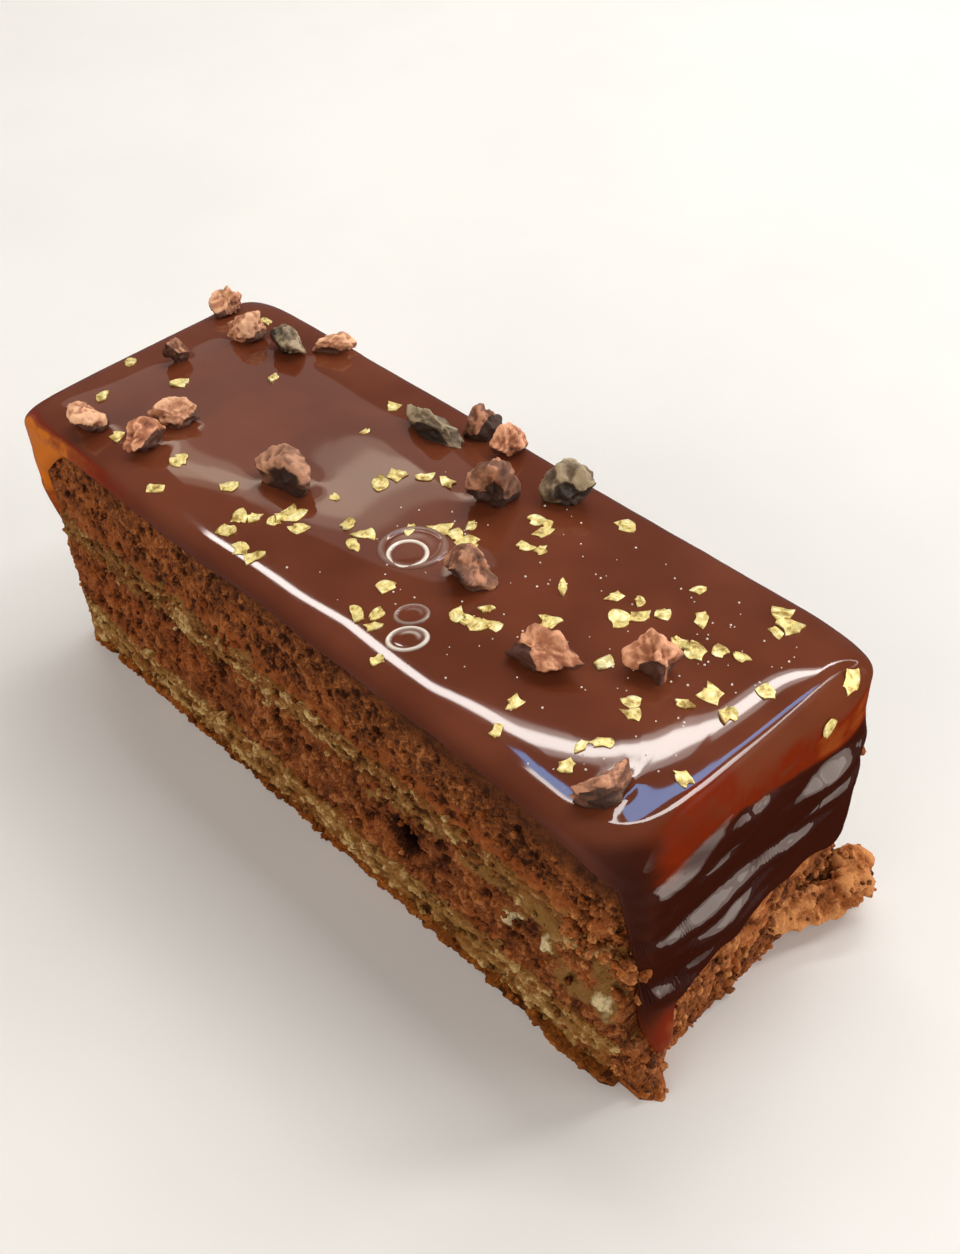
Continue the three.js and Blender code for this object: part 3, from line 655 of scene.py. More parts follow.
# Wrinkles of an end's sheet: place across, path down from the crest's start, reach across, slant and width
RIGHT_WRINKLES = ((-13.0, 6.8, 5.5, -0.26, 1.2), (-7.5, 9.2, 4.2, -0.12, 0.7), (-2.5, 6.9, 4.4, 0.26, 0.8),
                  (-8.5, 15.0, 8.5, 0.06, 1.7), (-9.5, 17.0, 6.0, 0.06, 1.0), (-5.0, 17.8, 6.0, 0.1, 1.2),
                  (-15.8, 10.8, 1.8, -0.45, 0.8), (-6.5, 19.6, 5.5, 0.1, 0.8), (-2.5, 21.0, 4.6, 0.2, 0.9),
                  (-14.8, 22.6, 4.0, 0.36, 1.5), (4.5, 16.8, 5.4, 0.2, 1.0), (9.5, 11.6, 5.5, 0.12, 1.6),
                  (12.0, 16.6, 4.6, 0.15, 0.9), (-9.0, 22.6, 3.2, 0.0, 1.0))
LEFT_WRINKLES = ((-8.0, 10.0, 7.0, 0.12, 0.8), (6.0, 12.0, 8.0, -0.15, 0.9), (-12.0, 15.5, 6.0, 0.2, 0.7),
                 (1.0, 17.0, 7.0, -0.1, 0.7), (12.0, 17.0, 5.0, 0.2, 0.8), (-5.0, 20.0, 5.0, 0.1, 0.6),
                 (-3.0, 13.4, 6.0, 0.1, 0.5))
WRINKLE_SLOPE = 0.86
WRINKLE_FALL = 4.2

# The ends: the hem's height and its waves' phase, the drip's place, reach and drop, how amber the drip's bead
# is where the glaze is clear, set higher on the shaded right end as painted light, how thin the glaze is
# above its fold, and the fold's path down from the crest with its shifts across the end
RIGHT = dict(side=1, hem=13.6, drip=(-14.5, 2.4, 8.0), clear=2.2, phase=0.0, thin=0.85, fold_level=6.2,
             fold_bells=((-8, 6, -2.2), (14, 9, 3.2)), wrinkles=RIGHT_WRINKLES)
LEFT = dict(side=-1, hem=15.0, drip=(8.5, 2.6, 6.0), clear=0.7, phase=2.1, thin=0.9, fold_level=6.8,
            fold_bells=((-14, 5, 1.4), (0, 5, -1.2), (10, 4, 1.2)), wrinkles=LEFT_WRINKLES)
HEM_WAVES = ((0.9, 0.33), (0.54, 0.8))
HEM_ROUND = 1.3

# The bead at the end of a drip, and the rise of the glaze where it clings to a nib
BEAD = dict(above=3.5, reach=2.6, flat=0.6, bulge=1.3)
MENISCUS = dict(start=0.8, rise=0.1, reach=0.6)

# Finish of the glaze: amber, thickness and gloss on the level top and where it is hidden, the gloss of the
# sheet and the drip, the share of the crest that is glossy, the reach of the thick near right corner and of
# the golden near left one, and how golden that corner and the lip are
OPEN_FINISH, HIDDEN_FINISH = (0.0, 0.0, 1.0), (0.0, 1.0, 0.0)
SHEET_SHEEN, BEAD_SHEEN = 0.02, 0.45
GLOSSY_CREST = 0.32
BLOB_REACH = 7.0
GILT = dict(reach=16.0, lip=0.12, corner=2.2)


def roll_share(x, y):
    """How far a place lies across the roll, from 0 at its start to 1 at the outline: the shares along and
    across the bar are added as fourth powers, which rounds the corners."""
    shares = [np.clip(1 - (half - np.abs(place)) / ROLL_WIDTH, 0, None) ** OUTLINE_POWER
              for half, place in ((HALF_LENGTH, x), (HALF_WIDTH, y))]
    return sum(shares) ** (1 / OUTLINE_POWER)


def glaze_height(x, y):
    """Height of the glaze: level in the middle, falling ever faster across the roll."""
    return HEIGHT - ROLL_DROP * roll_share(x, y) ** ROLL_POWER


def top_height(x, y):
    """The glaze's top as it lies: slow swells, and a rise where it clings to each nib."""
    height = glaze_height(x, y) + 0.05 * fractal(61, 2, x / 15, y / 15)
    for nib in NIBS:
        length, width, _ = nib["size"]
        turn = math.radians(nib["turn"])
        along = (x - nib["x"]) * math.cos(turn) + (y - nib["y"]) * math.sin(turn)
        aside = (y - nib["y"]) * math.cos(turn) - (x - nib["x"]) * math.sin(turn)
        outside = np.hypot(2 * along / length, 2 * aside / width) - MENISCUS["start"]
        outside = np.clip(outside, 0, None) * width / 2
        height = height + MENISCUS["rise"] * np.exp(-outside / MENISCUS["reach"])
    return height


def hem_height(end, y):
    """Height of the glaze's hem on an end: two sine waves, and a drip that hangs lower."""
    place, reach, drop = end["drip"]
    drip = drop * np.exp(-((y - place) / reach) ** 4)
    return end["hem"] + sine_waves(HEM_WAVES, y, end["phase"]) - drip


def drip_bead(end, y, z):
    """How strongly the drip swells to a bead just above its end."""
    place, _, drop = end["drip"]
    above = z - end["hem"] + drop - BEAD["above"]
    return bell(np.hypot(y - place, BEAD["flat"] * above), BEAD["reach"])


def below_fold(end, y, path):
    """How far a place on an end's sheet lies below its fold, by the length of its path down from the
    crest: the fold starts at a level, shifted by bells across the end and by noise."""
    start = end["fold_level"] + sum(rise * bell(y - place, reach) for place, reach, rise in end["fold_bells"])
    return path - start + 0.5 * fractal(81, 2, y / 4, path / 6)


def sheet_wrinkles(end, y, path):
    """Height of the wrinkles from just above the fold: each rises in a smooth step across a lens-shaped
    strip and sinks back slowly below it."""
    wander = 0.5 * fractal(84, 3, y / 4, path / 7)
    wrinkles = 0
    for place, level, reach, slant, width in end["wrinkles"]:
        strip = width * bell(y - place + 1.5 * wander, reach)
        past = path - level - slant * (y - place) + wander
        rise = ease(past / (strip + 0.05) + 1)
        wrinkles = wrinkles + WRINKLE_SLOPE * strip * rise * (1 - ease(past / WRINKLE_FALL))
    return wrinkles * ease((below_fold(end, y, path) + 1.4) / 1.6)


def sheet_bulge(end, y, path):
    """Extra thickness of the sheet on an end: a step at the fold, slow swells and the wrinkles."""
    swell = 0.18 * fractal(87, 2, y / 4, path / 4) * ease((path - 1.5) / 3)
    step = FOLD["step"] * ease(below_fold(end, y, path) / FOLD["reach"])
    return step + swell + sheet_wrinkles(end, y, path)


def sheet_sheen(end, y, path):
    """Gloss of the sheet on an end: high where it faces up on a wrinkle below the fold, by how fast it
    swells down its path, brushed by noise along the wrinkle, and little between."""
    rise = (sheet_bulge(end, y, path + 0.15) - sheet_bulge(end, y, path - 0.15)) / 0.3
    brushed = np.clip(1.0 + 1.3 * noise(89, y / 8, (path - 0.06 * y) / 0.6), 0.3, 1)
    return SHEET_SHEEN + brushed * ease((rise - 0.3) / 0.5) * ease(below_fold(end, y, path) / 0.8)


def thin_zone(end, y, path):
    """How thin the sheet is: most within a few millimetres above its fold, in uneven patches."""
    below = below_fold(end, y, path)
    patches = np.clip(0.75 + 0.9 * fractal(88, 3, y / 5, path / 3), 0, 1.3)
    return end["thin"] * patches * ease((below + 5.2) / 3.6) * (1 - ease((below - 0.3) / 1.0))


def lip_height(side, x):
    """Height of the lip's foot along a cut side: its least drop, a ragged line and the sags."""
    sags = sum(drop * bell(x - place, reach) * (side == s) for s, place, reach, drop in LIP_SAGS)
    return CAKE_TOP - np.maximum(LIP_DROP + 0.22 * fractal(91, 3, x / 5, 3.3 * side) + sags, 0.1)


def cubic(points, share):
    """A cubic arc: four rows of values weighted by the powers of a share and of what is left of it."""
    rest = 1 - share
    weights = (rest ** 3, 3 * rest ** 2 * share, 3 * rest * share ** 2, share ** 3)
    return sum(weight[:, None] * point for point, weight in zip(points, weights))


def corner_heading(turn, power=OUTLINE_POWER):
    """Direction out of a corner, along the bar at turn 0 and across it at turn 2, as long as a curve whose
    two shares add up to 1 in a power; a high power makes a sharp corner."""
    heading = np.stack([np.minimum(1, 2 - turn), np.minimum(1, turn)], -1)
    return heading / (heading ** power).sum(-1, keepdims=True) ** (1 / power)


def outline_columns():
    """Columns round the glaze: the point of the level core that each starts from, as a number in the
    core's grid, and its direction out. Each corner of the core starts a fan of columns."""
    grid = np.arange(CORE_ROWS * CORE_COLUMNS).reshape(CORE_ROWS, CORE_COLUMNS)
    fan = corner_heading(np.linspace(0, 2, CORNER_COLUMNS + 2)[1:-1])
    runs = ((grid[:, -1], np.array([[1, 0]])), (grid[-1:, -1], fan),
            (grid[-1, ::-1], np.array([[0, 1]])), (grid[-1:, 0], fan[::-1] * [-1, 1]),
            (grid[::-1, 0], np.array([[-1, 0]])), (grid[:1, 0], -fan),
            (grid[0], np.array([[0, -1]])), (grid[:1, -1], fan[::-1] * [1, -1]))
    counts = [max(len(number), len(heading)) for number, heading in runs]
    start = np.concatenate([np.broadcast_to(run[0], count) for run, count in zip(runs, counts)])
    heading = np.concatenate([np.broadcast_to(run[1], (count, 2)) for run, count in zip(runs, counts)])
    return start, heading.astype(float)


def of_end(x, rule):
    """A value by the rule of the end that each column belongs to."""
    return np.where(x > 0, rule(RIGHT), rule(LEFT))


def skirt_profile(begin, start, reach, fall, outline, corner, hem):
    """How far out and how high the rings below the top lie: a cubic arc turns the glaze down, and its
    corners grow sharper along it; below, it hangs straight to its hem."""
    slope = ROLL_DROP * ROLL_POWER / ROLL_WIDTH * (begin / ROLL_WIDTH) ** (ROLL_POWER - 1)
    share = np.linspace(0, 1, CREST_RINGS)[1:]
    turned = cubic((0 * reach, ARC * reach, reach, reach), share)
    out = begin + turned + outline * corner / (1 + corner) * (turned / reach) ** 2
    z = start - cubic((0 * fall, ARC * reach * slope, (1 - ARC) * fall, fall), share)
    hung = (z[-1] - hem) * np.linspace(0, 1, SHEET_RINGS)[1:, None]
    straight = np.broadcast_to(outline, hung.shape)
    return np.concatenate([out, straight]), np.concatenate([z, z[-1] - hung])


def skirt_finish(x, y, path, fallen, sheet, bead):
    """How amber, thick and glossy the glaze is below the top. It is thick below the fold and at the near
    right corner, amber above the fold and in the drip, and golden at the near left corner. On an end it
    is glossy at the start of the crest and on the wrinkles."""
    blob = bell(np.hypot(x - HALF_LENGTH, y + HALF_WIDTH), BLOB_REACH) * ease((path - 0.8) / 2.0)
    gilt = bell(np.hypot(x + HALF_LENGTH, y + HALF_WIDTH), GILT["reach"]) * ease(5.0 * fallen)
    golden = GILT["lip"] * fallen + GILT["corner"] * gilt
    # On the right end the bead's amber is raised to offset its shade: partly painted light.
    thin = of_end(x, lambda end: thin_zone(end, y, path) + end["clear"] * bead)
    amber = (sheet * thin + (1 - sheet) * golden) * (1 - 0.9 * blob)
    thick = sheet * of_end(x, lambda end: ease(below_fold(end, y, path) / 1.2)) * (1 - 0.8 * bead)
    thick = np.maximum(thick + (1 - sheet) * fallen * 0.8, blob * (1 - bead))
    share = np.concatenate([np.linspace(0, 1, CREST_RINGS)[1:], np.ones(SHEET_RINGS - 1)])
    early = ease((GLOSSY_CREST - share) / 0.2)[:, None]
    gloss = np.maximum(of_end(x, lambda end: sheet_sheen(end, y, path)), np.maximum(early, BEAD_SHEEN * bead))
    sheen = sheet * gloss + (1 - sheet) * (1 - 0.6 * ease(1.4 * fallen))
    return np.stack([amber, thick, sheen], -1)


def hem_rounding(edge, z, hem):
    """Share of its thickness that the glaze keeps near its hem, like a circle's edge, by the distance from
    the hem: the height above it, less where it runs steeply."""
    gap = np.linalg.norm(np.roll(edge, -1, 0) - np.roll(edge, 1, 0), axis=1)
    steep = np.clip(np.abs(np.roll(hem, -1) - np.roll(hem, 1)) / gap, 0, 3)
    hang = z[CREST_RINGS - 2] - hem
    above = (z - hem) / np.hypot(1, steep) / np.minimum(HEM_ROUND, 0.9 * hang)
    return dome(1 - np.clip(above, 0.02, 1), 1)


def glaze_skirt(foot, heading):
    """Rings from the level core to the hem and back up along the cake, for columns that start at a foot
    and go out by a heading. The top falls by its roll; an arc turns it down, wide over the ends and tight
    at the cut sides; below, the sheet or the lip hangs to its hem, rounded like a circle's edge. A
    column's share of the sheet is 1 on an end, 0 on a cut side, and changes quickly at a corner."""
    turned = 4 / np.pi * np.arctan2(np.abs(heading[:, 1]), np.abs(heading[:, 0]))
    sheet, crested = (ease((end - turned) / length) for end, length in (SHEET_FADE, CREST_FADE))
    corner = (np.abs(heading) ** CORNER_POWER).sum(1) ** (-1 / CORNER_POWER) - 1
    outline = ROLL_WIDTH * (1 + corner)
    edge = foot + outline[:, None] * heading
    x, y, side = edge[:, 0], edge[:, 1], np.sign(edge[:, 1])
    away = np.sign(heading) * np.abs(heading) ** (CORNER_POWER - 1)
    away = away / np.linalg.norm(away, axis=1, keepdims=True)

    reach = LIP_REACH + (CREST_REACH - LIP_REACH) * crested
    fall = LIP_FALL + (CREST_FALL - LIP_FALL) * crested
    begin = ROLL_WIDTH - reach
    rolled = begin * np.linspace(0, 1, TOP_RINGS)[1:, None]
    top = foot + rolled[..., None] * heading
    top = np.concatenate([top, top_height(top[..., 0], top[..., 1])[..., None]], -1)
    start = top[-1, :, 2]
    hem = sheet * of_end(x, lambda end: hem_height(end, y)) + (1 - sheet) * lip_height(side, x)
    out, z = skirt_profile(begin, start, reach, fall, outline, corner, hem)
    steps = np.diff(out, axis=0, prepend=begin[None]), np.diff(z, axis=0, prepend=start[None])
    path = np.cumsum(np.hypot(*steps), axis=0)
    run, sink = np.gradient(out, axis=0), -np.gradient(z, axis=0)
    outward, upward = sink / np.hypot(run, sink), run / np.hypot(run, sink)
    fallen = np.clip((start - z) / (start - hem), 0, 1)

    bead = sheet * of_end(x, lambda end: drip_bead(end, y, z))
    bulge = sheet * of_end(x, lambda end: sheet_bulge(end, y, path)) + BEAD["bulge"] * bead
    bulge = bulge + (1 - sheet) * fallen * 0.3 * fractal(95, 3, x / 5, 2.7 * side)
    inner = foot + (outline - LIP_OVERHANG - (GLAZE_END - LIP_OVERHANG) * sheet)[:, None] * heading
    plan = foot + out[..., None] * heading + (bulge * outward)[..., None] * away
    plan = inner + (plan - inner) * hem_rounding(edge, z, hem)[..., None]
    skirt = np.concatenate([plan, (z + bulge * upward)[..., None]], -1)
    levels = [np.broadcast_to(level, len(x))[:, None] for level in (hem, CAKE_TOP)]
    inside = [np.concatenate([inner, level], 1) for level in levels]
    values = [np.broadcast_to(OPEN_FINISH, top.shape), skirt_finish(x, y, path, fallen, sheet, bead),
              np.broadcast_to(HIDDEN_FINISH, (2, len(x), 3))]
    return np.concatenate([top, skirt, inside]), np.concatenate(values)


def glaze_shell():
    """The glaze: a level core, the rings round it down to the hem and up inside, and the core's underside
    on the cake. Where columns start from one point of the core, triangles close the ring to it."""
    across, along = np.meshgrid(np.linspace(-CORE_Y, CORE_Y, CORE_ROWS),
                                np.linspace(-CORE_X, CORE_X, CORE_COLUMNS), indexing="ij")
    core = np.stack([along, across], -1).reshape(-1, 2)
    start, heading = outline_columns()
    rings, ring_values = glaze_skirt(core[start], heading)
    count, columns = rings.shape[:2]
    top = np.concatenate([core, top_height(core[:, :1], core[:, 1:])], 1)
    under = np.concatenate([core, np.full((len(core), 1), CAKE_TOP)], 1)
    first = len(core) + np.arange(columns)
    last = first + (count - 1) * columns
    below = start + len(core) + count * columns
    after = np.roll(np.arange(columns), -1)
    fan = start == start[after]
    core_quads = grid_quads(CORE_ROWS, CORE_COLUMNS)
    quads = [core_quads, grid_quads(count, columns, wrap=True)[:, ::-1] + len(core),
             np.stack([start, first, first[after], start[after]], -1)[~fan],
             np.stack([last, below, below[after], last[after]], -1)[~fan],
             core_quads[:, ::-1] + len(core) + count * columns]
    tris = [np.stack([start, first, first[after]], -1)[fan], np.stack([last, below, last[after]], -1)[fan]]
    values = np.concatenate([np.broadcast_to(OPEN_FINISH, top.shape), ring_values.reshape(-1, 3),
                             np.broadcast_to(HIDDEN_FINISH, under.shape)])
    points = np.concatenate([top, rings.reshape(-1, 3), under])
    return shell(points, np.concatenate(quads), np.concatenate(tris),
                 amber=values[:, 0], thick=values[:, 1], sheen=values[:, 2])


# Bubbles in the glaze: place, radius, how much longer than wide it is, and how pale the ring's painted
# highlight is

BUBBLES = ((6.4, -4.5, 2.4, 1.0, 1.0), (15.5, -12.8, 1.7, 1.35, 0.9), (13.4, -10.3, 1.5, 1.3, 0.25),
           (6.0, -3.4, 3.6, 1.1, 0.12))
BUBBLE_TURN = math.radians(48)
BUBBLE_RINGS, BUBBLE_COLUMNS = 22, 56
SPECKS = 150
SPECK_SIZES = (0.05, 0.13)
SPECK_INSET, SPECK_RUN = 6, 46
SPECK_RINGS, SPECK_COLUMNS = 4, 8


def bubble_shell(x, y, radius, stretch, pale):
    """A burst bubble: a low dish within a thin oval rim, lying on the glaze. Its rim and a crescent inside
    are painted pale: a painted highlight and a painted reflection.
    """
    share = (np.arange(BUBBLE_RINGS) + 1) / BUBBLE_RINGS
    turn = 2 * np.pi * np.arange(BUBBLE_COLUMNS) / BUBBLE_COLUMNS
    rim = bell(share - 0.86, 0.09)
    lift = (0.05 + 0.17 * rim + 0.05 * (1 - share ** 2)) * ease((1 - share) / 0.08) - 0.06 * (share == 1)
    along = radius * stretch * np.outer(share, np.cos(turn))
    across = radius * np.outer(share, np.sin(turn))
    px = x + along * math.cos(BUBBLE_TURN) - across * math.sin(BUBBLE_TURN)
    py = y + along * math.sin(BUBBLE_TURN) + across * math.cos(BUBBLE_TURN)
    pz = top_height(px, py) + lift[:, None]
    centre = top_height(np.array([x]), np.array([y]))[0]
    points = np.concatenate([[[x, y, centre + 0.1]], np.stack([px, py, pz], -1).reshape(-1, 3),
                             [[x, y, centre - 0.3]]])
    reflection_crescent = 0.55 * bell(share - 0.5, 0.1)[:, None] * ease(np.cos(turn - 1.0))[None, :]
    ring = np.clip(1.5 * bell(share - 0.86, 0.085), 0, 1)[:, None] + reflection_crescent
    foam = np.concatenate([[0], (pale * ring).ravel(), [0]])
    return balls(points[None], BUBBLE_RINGS, BUBBLE_COLUMNS, foam=foam, sheen=np.ones(len(points)))


def speck_shell():
    """Pale specks on the glaze, painted as glints: tiny balls, most of them towards the right end."""
    draw = np.random.default_rng(141)
    x = HALF_LENGTH - SPECK_INSET - SPECK_RUN * draw.uniform(0, 1, SPECKS) ** 1.3
    y = draw.uniform(-EDGE + 1, EDGE - 3, SPECKS)
    sizes = draw.uniform(*SPECK_SIZES, SPECKS)
    centres = np.stack([x, y, top_height(x, y)], -1)
    points = centres[:, None, :] + ball_directions(SPECK_RINGS, SPECK_COLUMNS) * sizes[:, None, None]
    ones = np.ones(points.shape[:2])
    return balls(points, SPECK_RINGS, SPECK_COLUMNS, foam=ones, sheen=ones)


# Gold flakes on the glaze: groups of place, number and spread, and single ones on the right end by place
# and tilt in degrees

FLAKE_GROUPS = (
    (40.7, 14.4, 3, 2), (19.6, 15.1, 1, 0), (31.8, 12.3, 1, 0), (34.7, 8.9, 1, 0), (39.3, 7.2, 2, 1.5),
    (45.1, 5.6, 1, 0), (29.3, 5.2, 5, 3), (36.6, 4.2, 2, 1.4), (41.8, 0.4, 3, 2.8), (37.6, -4, 2, 1.5),
    (24.2, -1.5, 1, 0), (31.2, -3, 1, 0), (21.8, 2.6, 1, 0), (46, -7.7, 1, 0), (38.3, -10.4, 2, 1.5),
    (39, -13.9, 1, 0), (30.4, -15.3, 1, 0), (29.2, -11.7, 1, 0), (18.4, -6.2, 4, 2.3), (15.2, -16.6, 1, 0),
    (10.2, -13.4, 3, 1.8), (8.6, -9, 1, 0), (13.3, 8.6, 3, 1.9), (14.8, 5.2, 2, 1.4), (7.6, 1.7, 4, 2.4),
    (3.5, -1.4, 1, 0), (-0.2, 5.8, 2, 2), (-4.1, 2.9, 2, 1.6), (-13.1, 6.5, 1, 0), (-29.6, 6.2, 1, 0),
    (-14.5, 12, 1, 0), (-6.3, -3.8, 1, 0), (-0.1, -5.9, 3, 2.2), (-7.2, -9.6, 4, 2.6), (-11.2, -13.4, 3, 2),
    (-7, -15.2, 2, 1.5), (-16.6, -10.3, 1, 0), (-24.7, -11, 1, 0), (-41.9, -10.3, 1, 0), (-34, -13.4, 1, 0),
    (-23.1, -16, 1, 0), (-36.9, -2.1, 1, 0), (-46.4, -3.4, 1, 0), (-36.4, 12.3, 1, 0), (-40.9, 14, 1, 0),
)
END_FLAKES = ((49.2, 13.5, 37.1, 49), (50.3, 8.6, 35.1, 80))
FLAKE_RADIUS = 1.08
FLAKE_CORNERS = 5
FLAKE_UNEVEN = 0.42
FLAKE_NIB_GAP = 0.6
FLAKE_SHARES = (0.35, 0.7, 0.97, 1.0, 1.0, 0.6)
FLAKE_LIFTS = (0.13, 0.13, 0.13, 0.12, 0.03, -0.2)
FLAKE_RINGS, FLAKE_COLUMNS = len(FLAKE_SHARES), 40
GOLDEN_ANGLE = math.pi * (3 - math.sqrt(5))


def flake_places():
    """Places and seeds of the flakes: each group spreads in a sunflower spiral, clear of the nibs."""
    places = []
    for group, (x, y, count, widest) in enumerate(FLAKE_GROUPS):
        for i in range(count):
            reach = widest * math.sqrt((i + 0.5) / count) if count > 1 else 0
            angle = GOLDEN_ANGLE * i + group
            place = np.array([x + reach * math.cos(angle), y + reach * math.sin(angle)])
            for nib in NIBS:
                away = place - (nib["x"], nib["y"])
                clear = nib["size"][0] / 2 + FLAKE_RADIUS + FLAKE_NIB_GAP
                if np.hypot(*away) <= clear:
                    place = (nib["x"], nib["y"]) + away * clear / np.hypot(*away)
            places.append((*place, 7 * group + i))
    return np.array(places)


def flake_points(x, y, seed, ground):
    """Angular leaf flakes on a ground: the outline runs between five uneven corners, bows between them and
    is squeezed one way, and the foil is creased by noise and curls up at some of its edges."""
    x, y, seed = (np.asarray(value, float)[:, None] for value in (x, y, seed))
    corner = np.arange(FLAKE_CORNERS + 1)
    bearing = 2 * np.pi * (corner + FLAKE_UNEVEN * scatter(seed, corner % FLAKE_CORNERS, 3)) / FLAKE_CORNERS
    length = FLAKE_RADIUS * (1 + FLAKE_UNEVEN * scatter(seed, corner % FLAKE_CORNERS, 5))
    length = length * (0.98 + 0.22 * scatter(seed, 2, 11))
    steps = FLAKE_COLUMNS // FLAKE_CORNERS
    share = np.tile(np.arange(steps) / steps, FLAKE_CORNERS)
    side = np.repeat(np.arange(FLAKE_CORNERS), steps)
    bearing = bearing[:, side] * (1 - share) + bearing[:, side + 1] * share
    bow = 1 - (0.24 + 0.2 * scatter(seed, side, 9)) * np.sin(np.pi * share) ** 0.7
    length = 1.04 * (length[:, side] * (1 - share) + length[:, side + 1] * share) * bow
    ring, lift = (np.array(values)[:, None] for values in (FLAKE_SHARES, FLAKE_LIFTS))
    long_way = length * np.cos(bearing)
    short_way = length * np.sin(bearing) * (0.78 + 0.2 * scatter(seed, 4, 13))
    px = x[:, None] + ring * (long_way * np.cos(seed) - short_way * np.sin(seed))[:, None, :]
    py = y[:, None] + ring * (long_way * np.sin(seed) + short_way * np.cos(seed))[:, None, :]
    crease = 0.1 * fractal(131, 1, px / 0.8, py / 0.8)
    turned_up = np.clip(0.35 * scatter(seed, 6, 15), 0, None)[:, None]
    curled = turned_up * (ring * np.cos(bearing)[:, None, :]) ** 2
    pz = ground(px, py) + lift + (crease + curled) * (lift > 0.1)
    rings = np.stack([px, py, pz], -1).reshape(len(x), -1, 3)
    poles = [np.stack([x, y, ground(x, y) + height], -1) for height in (0.14, -0.25)]
    return np.concatenate([poles[0], rings, poles[1]], 1)


def flake_shell():
    """The flakes on the top, and those that are tilted onto the right end."""
    flakes = [flake_points(*flake_places().T, top_height)]
    for seed, (x, y, z, tilt) in enumerate(END_FLAKES, start=900):
        flat = flake_points([0], [0], [seed], lambda along, across: 0 * along)
        turn = Matrix.Rotation(math.radians(tilt), 3, "Y")
        flakes.append(flat @ np.array(turn).T + [x, y, z])
    return balls(np.concatenate(flakes), FLAKE_RINGS, FLAKE_COLUMNS)


# Cocoa nibs: place, length, width and height, turn in degrees, finish, and the bend of a shell-like one.
# A hollow is its bearing in degrees in the bar's frame, its rise, its width and its depth

NIBS = (
    dict(x=-46.6, y=12.1, size=(4.6, 3.6, 3.8), turn=70, finish="pale"),
    dict(x=-38.9, y=9.5, size=(5, 3.6, 3.8), turn=60, finish="pale"),
    dict(x=-32.8, y=10.9, size=(5, 3.6, 3.4), turn=30, finish="grey"),
    dict(x=-29.2, y=15.6, size=(5.8, 2.8, 2.8), turn=62, finish="pale"),
    dict(x=-41.2, y=0.4, size=(3.4, 2, 3.4), turn=50, finish="brown"),
    dict(x=-31.1, y=-7, size=(5.8, 3.8, 3.2), turn=38, finish="pale"),
    dict(x=-29.5, y=-12.3, size=(5.4, 3.6, 4), turn=75, finish="tan"),
    dict(x=-38.2, y=-14.6, size=(5.4, 3.8, 3.4), turn=30, finish="pale"),
    dict(x=-12.4, y=-5.3, size=(8, 5, 4.4), turn=22, finish="umber", hollow=(-72, 0.15, 0.85, 0.5)),
    dict(x=-7.4, y=11.7, size=(9, 3.8, 3.4), turn=-8, finish="grey", bend=0.8, hollow=(-70, -0.2, 0.5, 0.25)),
    dict(x=-3.4, y=15.8, size=(4.6, 3.4, 4.4), turn=65, finish="brown"),
    dict(x=1.4, y=15.4, size=(5, 3.6, 3.8), turn=80, finish="tan"),
    dict(x=6.3, y=8.1, size=(6, 5.4, 6), turn=45, finish="brown", hollow=(-50, 0.1, 0.35, 0.25)),
    dict(x=12, y=13.4, size=(6, 4.2, 5), turn=48, finish="grey", hollow=(-55, 0.15, 0.5, 0.35)),
    dict(x=14, y=-2.7, size=(5.8, 4.8, 4.4), turn=40, finish="brown"),
    dict(x=28.1, y=-6, size=(8, 4.6, 4), turn=12, finish="tan", hollow=(-120, -0.1, 0.5, 0.2)),
    dict(x=35.8, y=0.1, size=(5.8, 4.8, 5), turn=49, finish="tan", hollow=(-60, -0.3, 0.45, 0.2)),
    dict(x=42.8, y=-13.6, size=(6.6, 2.6, 3.8), turn=80, finish="brown", bend=1.4),
)

# Finishes of the nibs: the slot, and the body, crown and skin as screen values; the skin colour also serves
# as painted shade
HUSKS = {
    "tan": ("nib_tan", (172, 106, 73), (246, 180, 138), (82, 49, 37)),
    "pale": ("nib_tan", (186, 124, 90), (252, 196, 154), (88, 56, 43)),
    "umber": ("nib_tan", (124, 82, 60), (200, 146, 114), (56, 36, 28)),
    "brown": ("nib_dark", (120, 78, 57), (204, 144, 110), (60, 38, 29)),
    "grey": ("nib_dark", (112, 94, 72), (188, 168, 136), (52, 40, 32)),
}
NIB_GAP = 0.04
NIB_FACETS = dict(count=9, reach=0.68, uneven=0.14)
NIB_DENTS = dict(count=7, edge=0.7, soft=0.18, depth=0.2)
NIB_FOOT = -0.55
NIB_RINGS, NIB_COLUMNS = 46, 76


def unit_vectors(seed, numbers, first, second, third):
    """Repeatable directions, one for each number."""
    vectors = np.stack([scatter(seed, numbers, k) for k in (first, second, third)], -1)
    return vectors / np.linalg.norm(vectors, axis=1, keepdims=True)


def on_glaze(points, nib):
    """A nib's points, cut flat at the foot and stretched to fill its size, bent by a parabola along its
    length, tilted to stand square on the glaze, and turned."""
    points[:, 2] = np.maximum(points[:, 2], NIB_FOOT)
    low, high = points.min(0), points.max(0)
    points = (points - [(low[0] + high[0]) / 2, (low[1] + high[1]) / 2, low[2]]) * nib["size"] / (high - low)
    points[:, 1] += nib.get("bend", 0) * (2 * points[:, 0] / nib["size"][0]) ** 2
    x, y, step = nib["x"], nib["y"], 0.5
    rise = [glaze_height(x + dx, y + dy) - glaze_height(x - dx, y - dy) for dx, dy in ((step, 0), (0, step))]
    up = Vector((-rise[0], -rise[1], 1)).normalized()
    turn = Matrix.Rotation(math.radians(nib["turn"]), 3, "Z")
    tilt = Vector((0, 0, 1)).rotation_difference(up).to_matrix() @ turn
    foot = np.array([x, y, glaze_height(x, y)]) + NIB_GAP * np.array(up)
    return points @ np.array(tilt).T + foot


